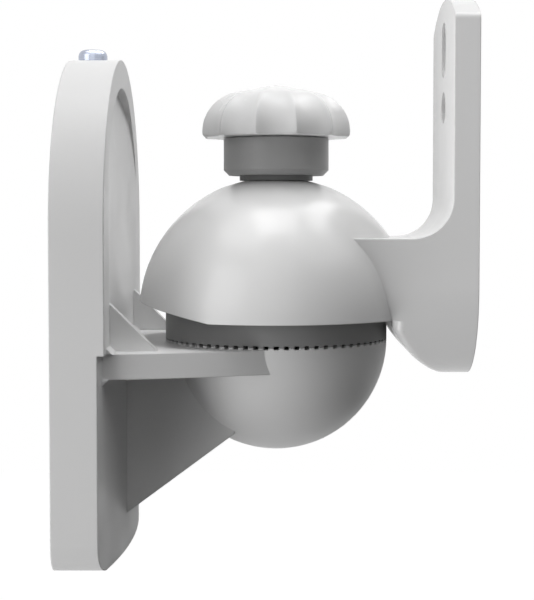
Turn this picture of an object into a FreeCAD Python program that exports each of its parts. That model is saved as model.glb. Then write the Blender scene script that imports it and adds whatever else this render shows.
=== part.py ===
import FreeCAD, Part
import math
import os
import Sketcher

# Speaker wall bracket, in millimetres. The origin lies on the wall, in the middle of the
# four wall screws. +X points away from the wall, +Z is up, and the bracket is symmetric
# about the plane Y = 0.

doc = FreeCAD.newDocument("speaker_wall_bracket")
sheet = doc.addObject("Spreadsheet::Sheet", "Dims")

DIMENSIONS = [
    # Wall housing
    ("housing_width", 69, "width of the housing, and twice the radius of its arch"),
    ("housing_height", 99, "height of the housing"),
    ("housing_depth", 10.2, "wall to the flat upper front face"),
    ("bulge_depth", 12.3, "wall to the crest of the convex lower front face"),
    ("bulge_radius", 175, "radius of the convex lower front face"),
    ("corner_round", 5.5, "radius of the housing's two lower corners"),
    ("hollow_depth", 7, "depth of the hollow behind the housing"),
    ("shell_wall", 2.4, "side wall of the housing"),
    ("dish_rim", 8.2, "flat rim beside the concave dish in the upper front face"),
    ("dish_depth", 1.1, "depth of the dish at its middle"),
    ("dish_arch_spare", 1.7, "radius of the arch that closes the dish, beyond half the dish's width"),
    ("dish_crown_rim", 5.8, "flat rim above the dish at its top"),
    ("thumb_start", 30, "foot of the thumb recess above the wall screws' middle"),
    ("thumb_lean", 2.8, "inward lean of the thumb recess, in degrees"),
    ("thumb_radius", 178, "radius of the thumb recess's floor, seen from above"),
    ("thumb_sag", 4, "depth of the thumb recess's section, more than it ever cuts"),
    ("overlap", 1, "how far a pad reaches into its neighbour and a cut out of its face"),
    # Swivel stack
    ("swivel_reach", 42, "wall to the swivel axis"),
    ("teeth_drop", 8, "tooth ring below the housing's mid-height"),
    ("bowl_radius", 23, "outer radius of the bowl and of the drum on it"),
    ("bowl_wall", 2.5, "wall of the bowl and of the drum"),
    ("tooth_count", 72, "teeth in each of the two rings"),
    ("tooth_gap", 0.95, "width of one notch between two teeth"),
    ("tooth_depth", 0.32, "depth of one notch"),
    ("tooth_play", 0.06, "gap between the tips of the two rings"),
    ("tooth_runout", 0.05, "how far a notch runs out beyond the drum"),
    # Ledge, ribs and gussets
    ("ledge_thick", 4.8, "thickness of the ledge"),
    ("ledge_sink", 0.35, "top of the ledge below the tooth ring"),
    ("ledge_root_width", 63.4, "width of the ledge at the housing"),
    ("ledge_side_radius", 150, "radius of the ledge's curved sides"),
    ("ledge_tuck", 1.5, "ends of the ledge inside the bowl's round wall"),
    ("root_bevel", 1.2, "bevel between ledge and housing"),
    ("rib_spread", 50, "distance over the two upper ribs"),
    ("rib_leg", 9, "leg of the triangular upper ribs"),
    ("rib_thick", 2.5, "thickness of ribs and gussets"),
    ("gusset_spread", 24, "distance over the two lower gussets"),
    ("gusset_drop", 34.5, "foot of the gussets below the tooth ring"),
    ("gusset_reach", 33.5, "wall to the gussets' tip on the bowl"),
    ("gusset_tip_drop", 18.4, "gussets' tip below the tooth ring"),
    ("gusset_sink", 0.6, "gussets' foot inside the crest of the lower front face"),
    # Bolt and its seat in the bowl
    ("bolt_radius", 3, "shank of the clamping bolt"),
    ("bolt_tip_bevel", 0.6, "bevel at the bolt's tip"),
    ("bolt_length", 55, "length of the bolt under its head"),
    ("hex_width", 10, "width across flats of the bolt's head and of the nut"),
    ("hex_height", 4, "height of the bolt's head"),
    ("hex_play", 0.1, "play round a hexagon in its pocket"),
    ("post_drop", 8, "top of the bolt's post below the tooth ring"),
    ("post_radius", 8.5, "radius of the bolt's post"),
    ("block_width", 6.4, "width of the three screw blocks in the bowl"),
    ("retainer_radius", 15.7, "radius of the disc that holds the bolt's head down"),
    ("retainer_thick", 1.5, "thickness of that disc"),
    ("retainer_screw_circle", 12.2, "radius of the circle of its screws"),
    ("small_screw_radius", 1.5, "shank of the small screws"),
    ("small_head_radius", 3, "head of the small screws"),
    ("small_head_height", 2.4, "height of the small screws' heads"),
    ("retainer_screw_length", 8, "length of the retainer's screws"),
    ("pilot_spare", 0.5, "depth of the pilot holes beyond the screws' tips"),
    ("head_brow", 0.45, "share of a pan head's height up to its rounded brow"),
    ("head_crown", 0.62, "share of a pan head's radius that its flat top takes up"),
    ("head_round", 1.8, "radius of a pan head's rounded brow"),
    ("recess_width", 0.9, "width of a cross recess"),
    ("recess_depth", 1.1, "depth of a cross recess"),
    ("recess_span", 0.55, "share of a pan head's radius that its cross recess takes up"),
    ("hole_play", 0.15, "radial clearance of a screw in a through hole"),
    ("running_play", 0.06, "radial clearance of a turning fit"),
    # Lift spring
    ("spring_radius", 4.3, "mean radius of the lift spring"),
    ("spring_wire", 0.9, "diameter of its wire"),
    ("spring_turns", 5, "turns of the lift spring"),
    ("spring_length", 8.5, "length of the lift spring as built in"),
    ("spring_play", 0.4, "clearance round the lift spring"),
    # Swivel core
    ("tilt_rise", 5.1, "centre of the dome above the tooth ring"),
    ("crown_gap", 0.3, "gap between the core's crown and the dome"),
    ("crown_wall", 2.6, "wall of the crown"),
    ("hub_radius", 7.2, "radius of the core's hub"),
    ("hub_drop", 3, "foot of the hub below the tooth ring"),
    # Dome, arm and speaker plate
    ("dome_radius", 28.5, "outer radius of the dome"),
    ("dome_wall", 3, "wall of the dome"),
    ("dome_rim_drop", 0.25, "rim of the dome below its centre"),
    ("bevel_start", 13.1, "swivel axis to the start of the rim's rising bevel"),
    ("bevel_angle", 11.5, "rise of that bevel, in degrees"),
    ("tilt_range", 15, "tilt each way, in degrees"),
    ("slot_play", 0.6, "play of the bolt in the dome's tilt slot"),
    ("arm_width", 36.6, "width of the arm and of the speaker plate"),
    ("arm_root", 12, "swivel axis to the hidden start of the arm inside the dome"),
    ("arm_rise", 21, "top of the arm above the tooth ring"),
    ("arm_fillet", 8, "fillet between the arm and the speaker plate"),
    ("plate_reach", 39.7, "swivel axis to the speaker's face"),
    ("plate_thick", 5, "thickness of the speaker plate"),
    ("plate_rise", 69.8, "top of the plate above the tooth ring"),
    ("plate_crown_radius", 35, "radius of the plate's arched top"),
    ("plate_corner_round", 1.5, "rounding of the plate's upper corners"),
    ("web_start", 23.1, "swivel axis to the web's start at the dome's rim"),
    ("web_step", 1.5, "height of the web's start below the dome's rim"),
    ("web_radius", 21, "radius of the web's curved underside"),
    ("foot_drop", 9.8, "centre of the plate's round foot below the arm's top"),
    ("foot_length", 5.5, "flat foot of the plate, measured from the speaker's face"),
    ("web_round", 2.0, "rounding of the web's lower edge"),
    ("speaker_hole_rise", 47.8, "round speaker hole above the tooth ring"),
    ("speaker_slot_rise", 59.7, "middle of the speaker slot above the tooth ring"),
    ("speaker_hole_radius", 3.25, "radius of the speaker hole, half the slot's width"),
    ("speaker_slot_length", 11.4, "length of the speaker slot"),
    # Neck, collar and knob
    ("seat_radius", 7.6, "radius of the neck"),
    ("seat_gap", 0.2, "gap between the neck's hollow foot and the dome"),
    ("seat_height", 2, "top of the neck above the top of the dome"),
    ("collar_radius", 10.9, "radius of the collar"),
    ("collar_gap", 0.2, "foot of the collar above the dome"),
    ("collar_height", 7.6, "height of the collar"),
    ("collar_bevel", 1.1, "bevel of the collar's lower edge"),
    ("collar_play", 0.1, "radial play of the neck and washer in the collar"),
    ("washer_radius", 6.2, "radius of the knob's washer"),
    ("washer_thick", 1.2, "thickness of the knob's washer"),
    ("washer_proud", 0.15, "how far the washer stands out of the collar"),
    ("knob_gap", 0.2, "gap between collar and knob"),
    ("nut_height", 5, "height of the knob's nut"),
    ("tip_room", 2, "depth of the knob's well above the nut, for the bolt's tip"),
    ("knob_radius", 15.9, "radius of the knob over its ridges"),
    ("knob_lip", 1.1, "height of the knob's widest place above its underside"),
    ("knob_lip_round", 1, "inset of the knob's underside"),
    ("knob_shoulder_radius", 9, "radius of the knob's shoulder, seen from the side"),
    ("knob_top_radius", 36, "radius of the knob's gently domed top"),
    ("flute_count", 12, "flutes round the knob"),
    ("flute_radius", 8, "radius of one flute's section"),
    ("flute_depth", 1.7, "depth of a flute inside the ridges' circle at the knob's widest place"),
    ("flute_bend", 16.4, "radius of the curve along which a flute climbs the shoulder"),
    ("flute_rise", 75, "angle through which a flute climbs before it runs out straight"),
    # Wall plate
    ("plate_play", 0.4, "play of the wall plate in the housing"),
    ("wall_plate_thick", 2.5, "thickness of the wall plate"),
    ("feature_gap", 0.3, "gap between the wall plate's raised features and the housing"),
    ("wall_screw_radius", 2.5, "radius of the wall screw holes"),
    ("wall_screw_width", 36, "horizontal distance of the wall screws"),
    ("wall_screw_height", 56, "vertical distance of the wall screws"),
    ("hook_spread", 36, "distance between the middles of the two hooks"),
    ("hook_width", 9, "width of a hook"),
    ("hook_height", 8, "height of a hook"),
    ("hook_floor", 2, "thickness of a hook's floor"),
    ("hook_lip", 1.6, "thickness of a hook's lip"),
    ("hook_drop", 36, "floor of the hooks below the origin"),
    ("tongue_play", 0.3, "play of the housing's tongues in the hooks"),
    ("tongue_inset", 1, "how much a tongue is set in from either end of its hook"),
    ("tongue_shelf", 2.4, "thickness of the shelf that carries a tongue"),
    ("boss_width", 11, "width of the lock screw's boss"),
    ("boss_height", 12, "height of the lock screw's boss"),
    ("boss_drop", 1, "top of the boss below the top of the wall plate"),
    ("boss_floor", 0.8, "thickness of the boss below the lock screw's bore"),
    ("lock_screw_depth", 4, "wall to the axis of the lock screw"),
    ("lock_screw_length", 14, "length of the lock screw"),
    ("lock_nut_width", 5.5, "width of the square lock nut"),
    ("lock_nut_height", 1.8, "height of the lock nut"),
    ("lock_nut_drop", 8.5, "lock nut's top below the housing's top"),
    ("spot_radius", 3.4, "radius of the flat under the lock screw's head"),
    ("spot_sink", 0.2, "depth of that flat below the apex of the arch"),
]
for row, (alias, size, meaning) in enumerate(DIMENSIONS, 1):
    sheet.set("A%d" % row, alias)
    sheet.set("B%d" % row, str(size))
    sheet.setAlias("B%d" % row, alias)
    sheet.set("C%d" % row, meaning)
doc.recompute()


def value(expression):
    """The present value of an expression on the sheet."""
    return float(sheet.evalExpression(expression))


# Places that several pieces share.
TOP = "(Dims.housing_height / 2)"
SIDE = "(Dims.housing_width / 2)"
ARCH_BASE = "(%s - %s)" % (TOP, SIDE)
LEDGE_TOP = "(-Dims.teeth_drop - Dims.ledge_sink)"
DOME_TOP = "(Dims.tilt_rise + Dims.dome_radius)"
DOME_INSIDE = "(Dims.dome_radius - Dims.dome_wall)"
CROWN = "(%s - Dims.crown_gap)" % DOME_INSIDE
BOWL_INSIDE = "(Dims.bowl_radius - Dims.bowl_wall)"
BOLT_BORE = "(Dims.bolt_radius + Dims.running_play)"
RETAINER_TOP = "(-Dims.post_drop + Dims.retainer_thick)"
SPRING_OUTSIDE = "(Dims.spring_radius + Dims.spring_wire / 2 + Dims.spring_play)"
COLLAR_FOOT = "(%s + Dims.collar_gap)" % DOME_TOP
COLLAR_TOP = "(%s + Dims.collar_height)" % COLLAR_FOOT
KNOB_FOOT = "(%s + Dims.knob_gap)" % COLLAR_TOP
SEAT_TOP = "(%s + Dims.seat_height)" % DOME_TOP
HEX_CORNER = "(%s / sqrt(3))"
BLOCK_ANGLES = (40, 56, 71)  # where a screw block's foot is sunk in the bowl's wall, degrees down


def add_body(label):
    """A body named after its piece."""
    body = doc.addObject("PartDesign::Body", label)
    body.Label = label
    return body


def stand_on_swivel(body):
    """Puts a body's own origin on the swivel axis, at the level of the tooth ring."""
    body.setExpression("Placement.Base.x", "Dims.swivel_reach")
    body.setExpression("Placement.Base.z", "-Dims.teeth_drop")


def origin_plane(body, role):
    return [feature for feature in body.Origin.OriginFeatures if feature.Role == role][0]


def add_sketch(body, name, role, shift=None):
    """An empty sketch on one of the body's own origin planes.

    shift gives, in the sketch's own axes, how far its origin is moved.
    """
    sketch = body.newObject("Sketcher::SketchObject", name)
    sketch.AttachmentSupport = [(origin_plane(body, role), "")]
    sketch.MapMode = "FlatFace"
    for axis, expression in (shift or {}).items():
        sketch.setExpression("AttachmentOffset.Base.%s" % axis, expression)
    return sketch


def pin_point(sketch, geometry, place, across, along):
    """Holds one vertex at two expressions, measured from the sketch's origin."""
    for kind, expression in (("DistanceX", across), ("DistanceY", along)):
        number = sketch.addConstraint(
            Sketcher.Constraint(kind, -1, 1, geometry, place, value(expression)))
        sketch.setExpression("Constraints[%d]" % number, expression)


def arc_between(start, end, radius, side):
    """The short arc from start to end, with its centre on the left (side 1) or right (-1)."""
    chord = end.sub(start)
    half = chord.Length / 2
    rise = math.sqrt(max(radius ** 2 - half ** 2, 0))
    left = FreeCAD.Vector(-chord.y, chord.x, 0).normalize()
    middle = (start + end) * 0.5
    centre = middle + left * (side * rise)
    crest = centre + (middle - left * (side * half) * 1e-3 - centre).normalize() * radius
    return Part.Arc(start, crest, end)


def draw_loop(sketch, corners):
    """A closed outline through corners (across, along[, radius, side]).

    A radius makes the stretch that leaves the corner an arc, and side says on which hand
    its centre lies.
    """
    points = [FreeCAD.Vector(value(corner[0]), value(corner[1]), 0) for corner in corners]
    first = sketch.GeometryCount
    for number, corner in enumerate(corners):
        start = points[number]
        end = points[(number + 1) % len(points)]
        if len(corner) == 2:
            sketch.addGeometry(Part.LineSegment(start, end), False)
        else:
            sketch.addGeometry(arc_between(start, end, value(corner[2]), corner[3]), False)
    for number, corner in enumerate(corners):
        geometry = first + number
        following = first + (number + 1) % len(corners)
        leaves, arrives = ends_of(corner)
        sketch.addConstraint(Sketcher.Constraint(
            "Coincident", geometry, arrives, following, ends_of(corners[following - first])[0]))
        pin_point(sketch, geometry, leaves, corner[0], corner[1])
        if len(corner) > 2:
            size = sketch.addConstraint(
                Sketcher.Constraint("Radius", geometry, value(corner[2])))
            sketch.setExpression("Constraints[%d]" % size, corner[2])
    return sketch


def draw_path(sketch, corners):
    """An open line through corners, drawn as a loop is, without the closing stretch."""
    points = [FreeCAD.Vector(value(corner[0]), value(corner[1]), 0) for corner in corners]
    for number, corner in enumerate(corners[:-1]):
        start = points[number]
        end = points[number + 1]
        if len(corner) == 2:
            sketch.addGeometry(Part.LineSegment(start, end), False)
        else:
            sketch.addGeometry(arc_between(start, end, value(corner[2]), corner[3]), False)
    for number, corner in enumerate(corners[:-1]):
        leaves, arrives = ends_of(corner)
        pin_point(sketch, number, leaves, corner[0], corner[1])
        if number + 2 < len(corners):
            sketch.addConstraint(Sketcher.Constraint(
                "Coincident", number, arrives, number + 1, ends_of(corners[number + 1])[0]))
        else:
            pin_point(sketch, number, arrives, corners[-1][0], corners[-1][1])
        if len(corner) > 2:
            size = sketch.addConstraint(
                Sketcher.Constraint("Radius", number, value(corner[2])))
            sketch.setExpression("Constraints[%d]" % size, corner[2])
    return sketch


def ends_of(corner):
    """Start and end vertex numbers of the stretch that leaves a corner.

    An arc is kept counter-clockwise, so one that is drawn clockwise starts at its end.
    """
    clockwise = len(corner) > 2 and corner[3] < 0
    return (2, 1) if clockwise else (1, 2)


def draw_circle(sketch, across, along, radius):
    """A circle whose centre and radius follow expressions."""
    centre = FreeCAD.Vector(value(across), value(along), 0)
    geometry = sketch.addGeometry(
        Part.Circle(centre, FreeCAD.Vector(0, 0, 1), value(radius)), False)
    pin_point(sketch, geometry, 3, across, along)
    size = sketch.addConstraint(Sketcher.Constraint("Radius", geometry, value(radius)))
    sketch.setExpression("Constraints[%d]" % size, radius)
    return sketch


def rectangle(left, right, low, high):
    return [(left, low), (right, low), (right, high), (left, high)]


def hexagon(across_flats):
    """Corners of a hexagon round the sketch's origin, with a flat on either side in Y."""
    corner = HEX_CORNER % across_flats
    half = "(%s / sqrt(3) / 2)" % across_flats
    flat = "(%s / 2)" % across_flats
    return [(corner, "0"), (half, flat), ("-" + half, flat), ("-" + corner, "0"),
            ("-" + half, "-" + flat), (half, "-" + flat)]


def pad(body, name, sketch, length, reverse=False, symmetric=False):
    feature = body.newObject("PartDesign::Pad", name)
    feature.Profile = sketch
    feature.Reversed = reverse
    feature.SideType = "Symmetric" if symmetric else "One side"
    feature.setExpression("Length", length)
    return feature


def pocket(body, name, sketch, length=None, reverse=False, symmetric=False):
    """A cut of a given length, or through everything both ways if none is given."""
    feature = body.newObject("PartDesign::Pocket", name)
    feature.Profile = sketch
    feature.Reversed = reverse
    feature.SideType = "Symmetric" if symmetric or length is None else "One side"
    if length is None:
        feature.Type = "ThroughAll"
    else:
        feature.setExpression("Length", length)
    return feature


def turn(body, name, sketch, kind="Revolution"):
    """A full turn of a sketch about its own vertical axis."""
    feature = body.newObject("PartDesign::" + kind, name)
    feature.Profile = sketch
    feature.ReferenceAxis = (sketch, ["V_Axis"])
    feature.Angle = 360
    return feature


def polar(body, name, originals, sketch, count):
    """Copies of features round the normal of a sketch."""
    feature = body.newObject("PartDesign::PolarPattern", name)
    feature.Originals = originals
    feature.Axis = (sketch, ["N_Axis"])
    feature.Angle = 360
    feature.setExpression("Occurrences", count)
    body.Tip = feature
    return feature


def mirror(body, name, originals):
    """The features' mirror image on the other side of the plane Y = 0."""
    feature = body.newObject("PartDesign::Mirrored", name)
    feature.Originals = originals
    feature.MirrorPlane = (origin_plane(body, "XZ_Plane"), [""])
    body.Tip = feature
    return feature


def arch_outline(inset):
    """The housing's front outline, moved inwards by inset: an arch over two round corners."""
    side = "(%s - %s)" % (SIDE, inset)
    low = "(-%s + %s)" % (TOP, inset)
    bend = "(Dims.corner_round - %s)" % inset
    return [
        ("-" + side, ARCH_BASE),
        ("-" + side, "%s + %s" % (low, bend), bend, 1),
        ("-%s + %s" % (side, bend), low),
        ("%s - %s" % (side, bend), low, bend, 1),
        (side, "%s + %s" % (low, bend)),
        (side, ARCH_BASE, side, 1),
        ("0", "%s + %s" % (ARCH_BASE, side), side, 1),
    ]


def ball_height(radius, across, centre="0"):
    """Height on a sphere of a given radius, above its centre's level, at a distance across."""
    return "(%s + sqrt(%s ^ 2 - (%s) ^ 2))" % (centre, radius, across)


def add_tooth_notches(body, centre, upwards):
    """A ring of notches that leaves the crown teeth, cut up or down from its centre's level."""
    sketch = add_sketch(body, "tooth_notch_outline", "XY_Plane", centre)
    draw_loop(sketch, rectangle(BOWL_INSIDE + " - Dims.overlap",
                                "Dims.bowl_radius + Dims.tooth_runout",
                                "-Dims.tooth_gap / 2", "Dims.tooth_gap / 2"))
    notch = pocket(body, "tooth_notch", sketch, "Dims.tooth_depth", reverse=upwards)
    polar(body, "tooth_ring", [notch], sketch, "Dims.tooth_count")


def make_wall_housing():
    """Arched shell, ledge, ribs, gussets and bowl, moulded in one piece."""
    body = add_body("wall_housing")

    front = draw_loop(add_sketch(body, "housing_outline", "YZ_Plane"), arch_outline("0"))
    pad(body, "housing_block", front, "Dims.bulge_depth")

    flat = add_sketch(body, "upper_face_outline", "XZ_Plane")
    draw_loop(flat, rectangle("Dims.housing_depth", "Dims.bulge_depth + Dims.overlap",
                              LEDGE_TOP, TOP + " + Dims.overlap"))
    pocket(body, "upper_face", flat)

    bulge = add_sketch(body, "lower_face_outline", "XY_Plane", {"z": LEDGE_TOP})
    edge = "(%s + Dims.overlap)" % SIDE
    draw_loop(bulge, [
        (bulge_height(edge), "-" + edge),
        ("Dims.bulge_depth + Dims.overlap", "-" + edge),
        ("Dims.bulge_depth + Dims.overlap", edge),
        (bulge_height(edge), edge, "Dims.bulge_radius", -1),
    ])
    pocket(body, "lower_face", bulge, "Dims.housing_height")

    add_dish(body)

    hollow = draw_loop(add_sketch(body, "hollow_outline", "YZ_Plane"),
                       arch_outline("Dims.shell_wall"))
    pocket(body, "hollow", hollow, "Dims.hollow_depth", reverse=True)

    swivel_shift = {"x": "Dims.swivel_reach", "y": "-Dims.teeth_drop"}
    bowl = add_sketch(body, "bowl_outline", "XZ_Plane", swivel_shift)
    draw_loop(bowl, [
        ("0", "0"),
        ("0", "-Dims.bowl_radius", "Dims.bowl_radius", 1),
        ("Dims.bowl_radius", "0"),
    ])
    turn(body, "bowl", bowl)

    add_ledge(body)
    add_ribs(body)

    inside = add_sketch(body, "bowl_hollow_outline", "XZ_Plane", swivel_shift)
    draw_loop(inside, [
        ("0", "-Dims.post_drop"),
        ("Dims.post_radius", "-Dims.post_drop"),
        ("Dims.post_radius", "-sqrt(%s ^ 2 - Dims.post_radius ^ 2)" % BOWL_INSIDE,
         BOWL_INSIDE, 1),
        (BOWL_INSIDE, "0"),
        (BOWL_INSIDE, "Dims.overlap"),
        ("0", "Dims.overlap"),
    ])
    turn(body, "bowl_hollow", inside, "Groove")

    add_screw_blocks(body, swivel_shift)
    add_tooth_notches(body, {"x": "Dims.swivel_reach", "z": "-Dims.teeth_drop"},
                      upwards=False)
    add_tongues(body)
    add_lock_hole(body)
    return body


def bulge_height(across):
    """Depth of the convex lower face at a distance from the middle."""
    return ("(Dims.bulge_depth - Dims.bulge_radius + sqrt(Dims.bulge_radius ^ 2 - %s ^ 2))"
            % across)


def add_dish(body):
    """Concave dish in the flat upper face, with a thumb recess under its arched top."""
    half = "(%s - Dims.dish_rim)" % SIDE
    trough = "((%s ^ 2 + Dims.dish_depth ^ 2) / (2 * Dims.dish_depth))" % half
    sketch = add_sketch(body, "dish_outline", "XY_Plane", {"z": LEDGE_TOP})
    draw_loop(sketch, [
        ("Dims.housing_depth", "-" + half, trough, -1),
        ("Dims.housing_depth - Dims.dish_depth", "0", trough, -1),
        ("Dims.housing_depth", half),
    ])
    pocket(body, "dish", sketch, TOP + " + Dims.overlap - " + LEDGE_TOP, reverse=True)

    # The recess is a trough of its own that leans inwards on the way up.
    lean = "((Dims.thumb_start - %s) * tan(Dims.thumb_lean))" % ARCH_BASE
    thumb = add_sketch(body, "thumb_outline", "XY_Plane",
                       {"x": "Dims.housing_depth - Dims.dish_depth + " + lean,
                        "z": ARCH_BASE})
    thumb.setExpression("AttachmentOffset.Rotation.Axis.x", "0")
    thumb.setExpression("AttachmentOffset.Rotation.Axis.y", "-1")
    thumb.setExpression("AttachmentOffset.Rotation.Axis.z", "0")
    thumb.setExpression("AttachmentOffset.Rotation.Angle", "Dims.thumb_lean")
    spread = "sqrt(2 * Dims.thumb_radius * Dims.thumb_sag - Dims.thumb_sag ^ 2)"
    draw_loop(thumb, [
        ("Dims.thumb_sag", "-" + spread, "Dims.thumb_radius", -1),
        ("0", "0", "Dims.thumb_radius", -1),
        ("Dims.thumb_sag", spread),
    ])
    pocket(body, "thumb_recess", thumb, "Dims.housing_width / 2 + Dims.overlap", reverse=True)

    # The rim closes both troughs with an arch.
    arch = "(%s + Dims.dish_arch_spare)" % half
    crest = "(%s - Dims.dish_crown_rim)" % TOP
    spring = ball_height(arch, half, "%s - %s" % (crest, arch))
    rim = add_sketch(body, "dish_rim_outline", "YZ_Plane", {"z": "Dims.hollow_depth"})
    draw_loop(rim, [
        (half, spring, arch, 1),
        ("0", crest, arch, 1),
        ("-" + half, spring),
        ("-" + SIDE, ARCH_BASE, SIDE, -1),
        ("0", TOP, SIDE, -1),
        (SIDE, ARCH_BASE),
    ])
    pad(body, "dish_rim", rim, "Dims.housing_depth - Dims.hollow_depth")


def add_ledge(body):
    """Ledge that tapers from the housing to the bowl, with bevels along its root."""
    root = "(Dims.hollow_depth + Dims.overlap)"
    half = "(Dims.ledge_root_width / 2)"
    reach = "(Dims.swivel_reach + Dims.overlap)"
    tip = "(Dims.bowl_radius - Dims.ledge_tuck)"
    ledge = add_sketch(body, "ledge_outline", "XY_Plane", {"z": LEDGE_TOP})
    draw_loop(ledge, [
        (root, "-" + half, "Dims.ledge_side_radius", 1),
        (reach, "-" + tip),
        (reach, tip, "Dims.ledge_side_radius", 1),
        (root, half),
    ])
    pad(body, "ledge", ledge, "Dims.ledge_thick", reverse=True)

    low = "(%s - Dims.ledge_thick)" % LEDGE_TOP
    corner_depth = bulge_height(half)
    upper = add_sketch(body, "upper_bevel_outline", "XZ_Plane")
    draw_loop(upper, [
        (root, LEDGE_TOP),
        ("Dims.housing_depth + Dims.root_bevel", LEDGE_TOP),
        ("Dims.housing_depth", LEDGE_TOP + " + Dims.root_bevel"),
        (root, LEDGE_TOP + " + Dims.root_bevel"),
    ])
    pad(body, "upper_bevel", upper, "Dims.ledge_root_width", symmetric=True)
    lower = add_sketch(body, "lower_bevel_outline", "XZ_Plane")
    draw_loop(lower, [
        (root, low),
        (root, low + " - Dims.root_bevel"),
        (corner_depth, low + " - Dims.root_bevel"),
        (corner_depth + " + Dims.root_bevel", low),
    ])
    pad(body, "lower_bevel", lower, "Dims.ledge_root_width", symmetric=True)


def add_ribs(body):
    """Two triangular ribs on the ledge and two gussets under it, up to the bowl."""
    root = "(Dims.hollow_depth + Dims.overlap)"
    sunk = LEDGE_TOP + " - Dims.overlap"
    rib = add_sketch(body, "rib_outline", "XZ_Plane", {"z": "Dims.rib_spread / 2"})
    draw_loop(rib, [
        (root, sunk),
        ("Dims.housing_depth + Dims.rib_leg + Dims.overlap", sunk),
        ("Dims.housing_depth", LEDGE_TOP + " + Dims.rib_leg"),
        (root, LEDGE_TOP + " + Dims.rib_leg"),
    ])
    upper = pad(body, "rib", rib, "Dims.rib_thick", reverse=True)

    gusset = add_sketch(body, "gusset_outline", "XZ_Plane", {"z": "Dims.gusset_spread / 2"})
    draw_loop(gusset, [
        (root, sunk),
        (root, "-Dims.teeth_drop - Dims.gusset_drop - Dims.overlap"),
        ("Dims.bulge_depth - Dims.gusset_sink", "-Dims.teeth_drop - Dims.gusset_drop"),
        ("Dims.gusset_reach", "-Dims.teeth_drop - Dims.gusset_tip_drop"),
        ("Dims.gusset_reach", sunk),
    ])
    lower = pad(body, "gusset", gusset, "Dims.rib_thick", reverse=True)
    mirror(body, "second_rib_and_gusset", [upper, lower])


def add_screw_blocks(body, swivel_shift):
    """Three blocks in the bowl for the retainer's screws, and the bolt's hexagon pocket."""
    middle = "(Dims.bowl_radius - Dims.bowl_wall / 2)"
    block = add_sketch(body, "screw_block_outline", "XZ_Plane", swivel_shift)
    corners = [("Dims.post_radius - Dims.overlap", "-Dims.post_drop")]
    corners.append(("sqrt(%s ^ 2 - Dims.post_drop ^ 2)" % middle, "-Dims.post_drop"))
    for angle in BLOCK_ANGLES:
        corners.append(("%s * cos(%d)" % (middle, angle), "-%s * sin(%d)" % (middle, angle)))
    draw_loop(block, corners)
    block_pad = pad(body, "screw_block", block, "Dims.block_width", symmetric=True)
    pilot = add_sketch(body, "pilot_outline", "XY_Plane",
                       {"x": "Dims.swivel_reach", "z": "-Dims.teeth_drop - Dims.post_drop"})
    draw_circle(pilot, "Dims.retainer_screw_circle", "0", "Dims.small_screw_radius")
    pilot_cut = pocket(body, "pilot", pilot,
                       "Dims.retainer_screw_length - Dims.retainer_thick + Dims.pilot_spare")
    polar(body, "screw_blocks", [block_pad, pilot_cut], pilot, "3")
    seat = add_sketch(body, "bolt_seat_outline", "XY_Plane",
                      {"x": "Dims.swivel_reach", "z": "-Dims.teeth_drop - Dims.post_drop"})
    draw_loop(seat, hexagon("(Dims.hex_width + 2 * Dims.hex_play)"))
    pocket(body, "bolt_seat", seat, "Dims.hex_height")


def add_tongues(body):
    """Two tongues inside the housing that drop into the wall plate's hooks."""
    inner = "(Dims.wall_plate_thick + Dims.tongue_play)"
    outer = "(Dims.hollow_depth - Dims.feature_gap - Dims.hook_lip - Dims.tongue_play)"
    foot = "(-Dims.hook_drop + Dims.tongue_play)"
    shelf = "(-Dims.hook_drop - Dims.hook_floor + Dims.hook_height + Dims.tongue_play)"
    tongue = add_sketch(body, "tongue_outline", "XZ_Plane",
                        {"z": "(Dims.hook_spread + Dims.hook_width) / 2 - Dims.tongue_inset"})
    draw_loop(tongue, [
        (inner, foot),
        (outer, foot),
        (outer, shelf),
        ("Dims.hollow_depth + Dims.overlap", shelf),
        ("Dims.hollow_depth + Dims.overlap", shelf + " + Dims.tongue_shelf"),
        (inner, shelf + " + Dims.tongue_shelf"),
    ])
    side = pad(body, "tongue", tongue, "Dims.hook_width - 2 * Dims.tongue_inset", reverse=True)
    mirror(body, "second_tongue", [side])


def add_lock_hole(body):
    """Through hole and flat for the lock screw in the top of the arch."""
    spot = add_sketch(body, "lock_flat_outline", "XY_Plane",
                      {"x": "Dims.lock_screw_depth", "z": TOP + " - Dims.spot_sink"})
    draw_circle(spot, "0", "0", "Dims.spot_radius")
    pocket(body, "lock_flat", spot, "Dims.spot_sink + Dims.overlap", reverse=True)
    hole = add_sketch(body, "lock_hole_outline", "XY_Plane",
                      {"x": "Dims.lock_screw_depth", "z": TOP + " + Dims.overlap"})
    draw_circle(hole, "0", "0", "Dims.small_screw_radius + Dims.hole_play")
    pocket(body, "lock_hole", hole, "Dims.shell_wall + 2 * Dims.overlap")


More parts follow.
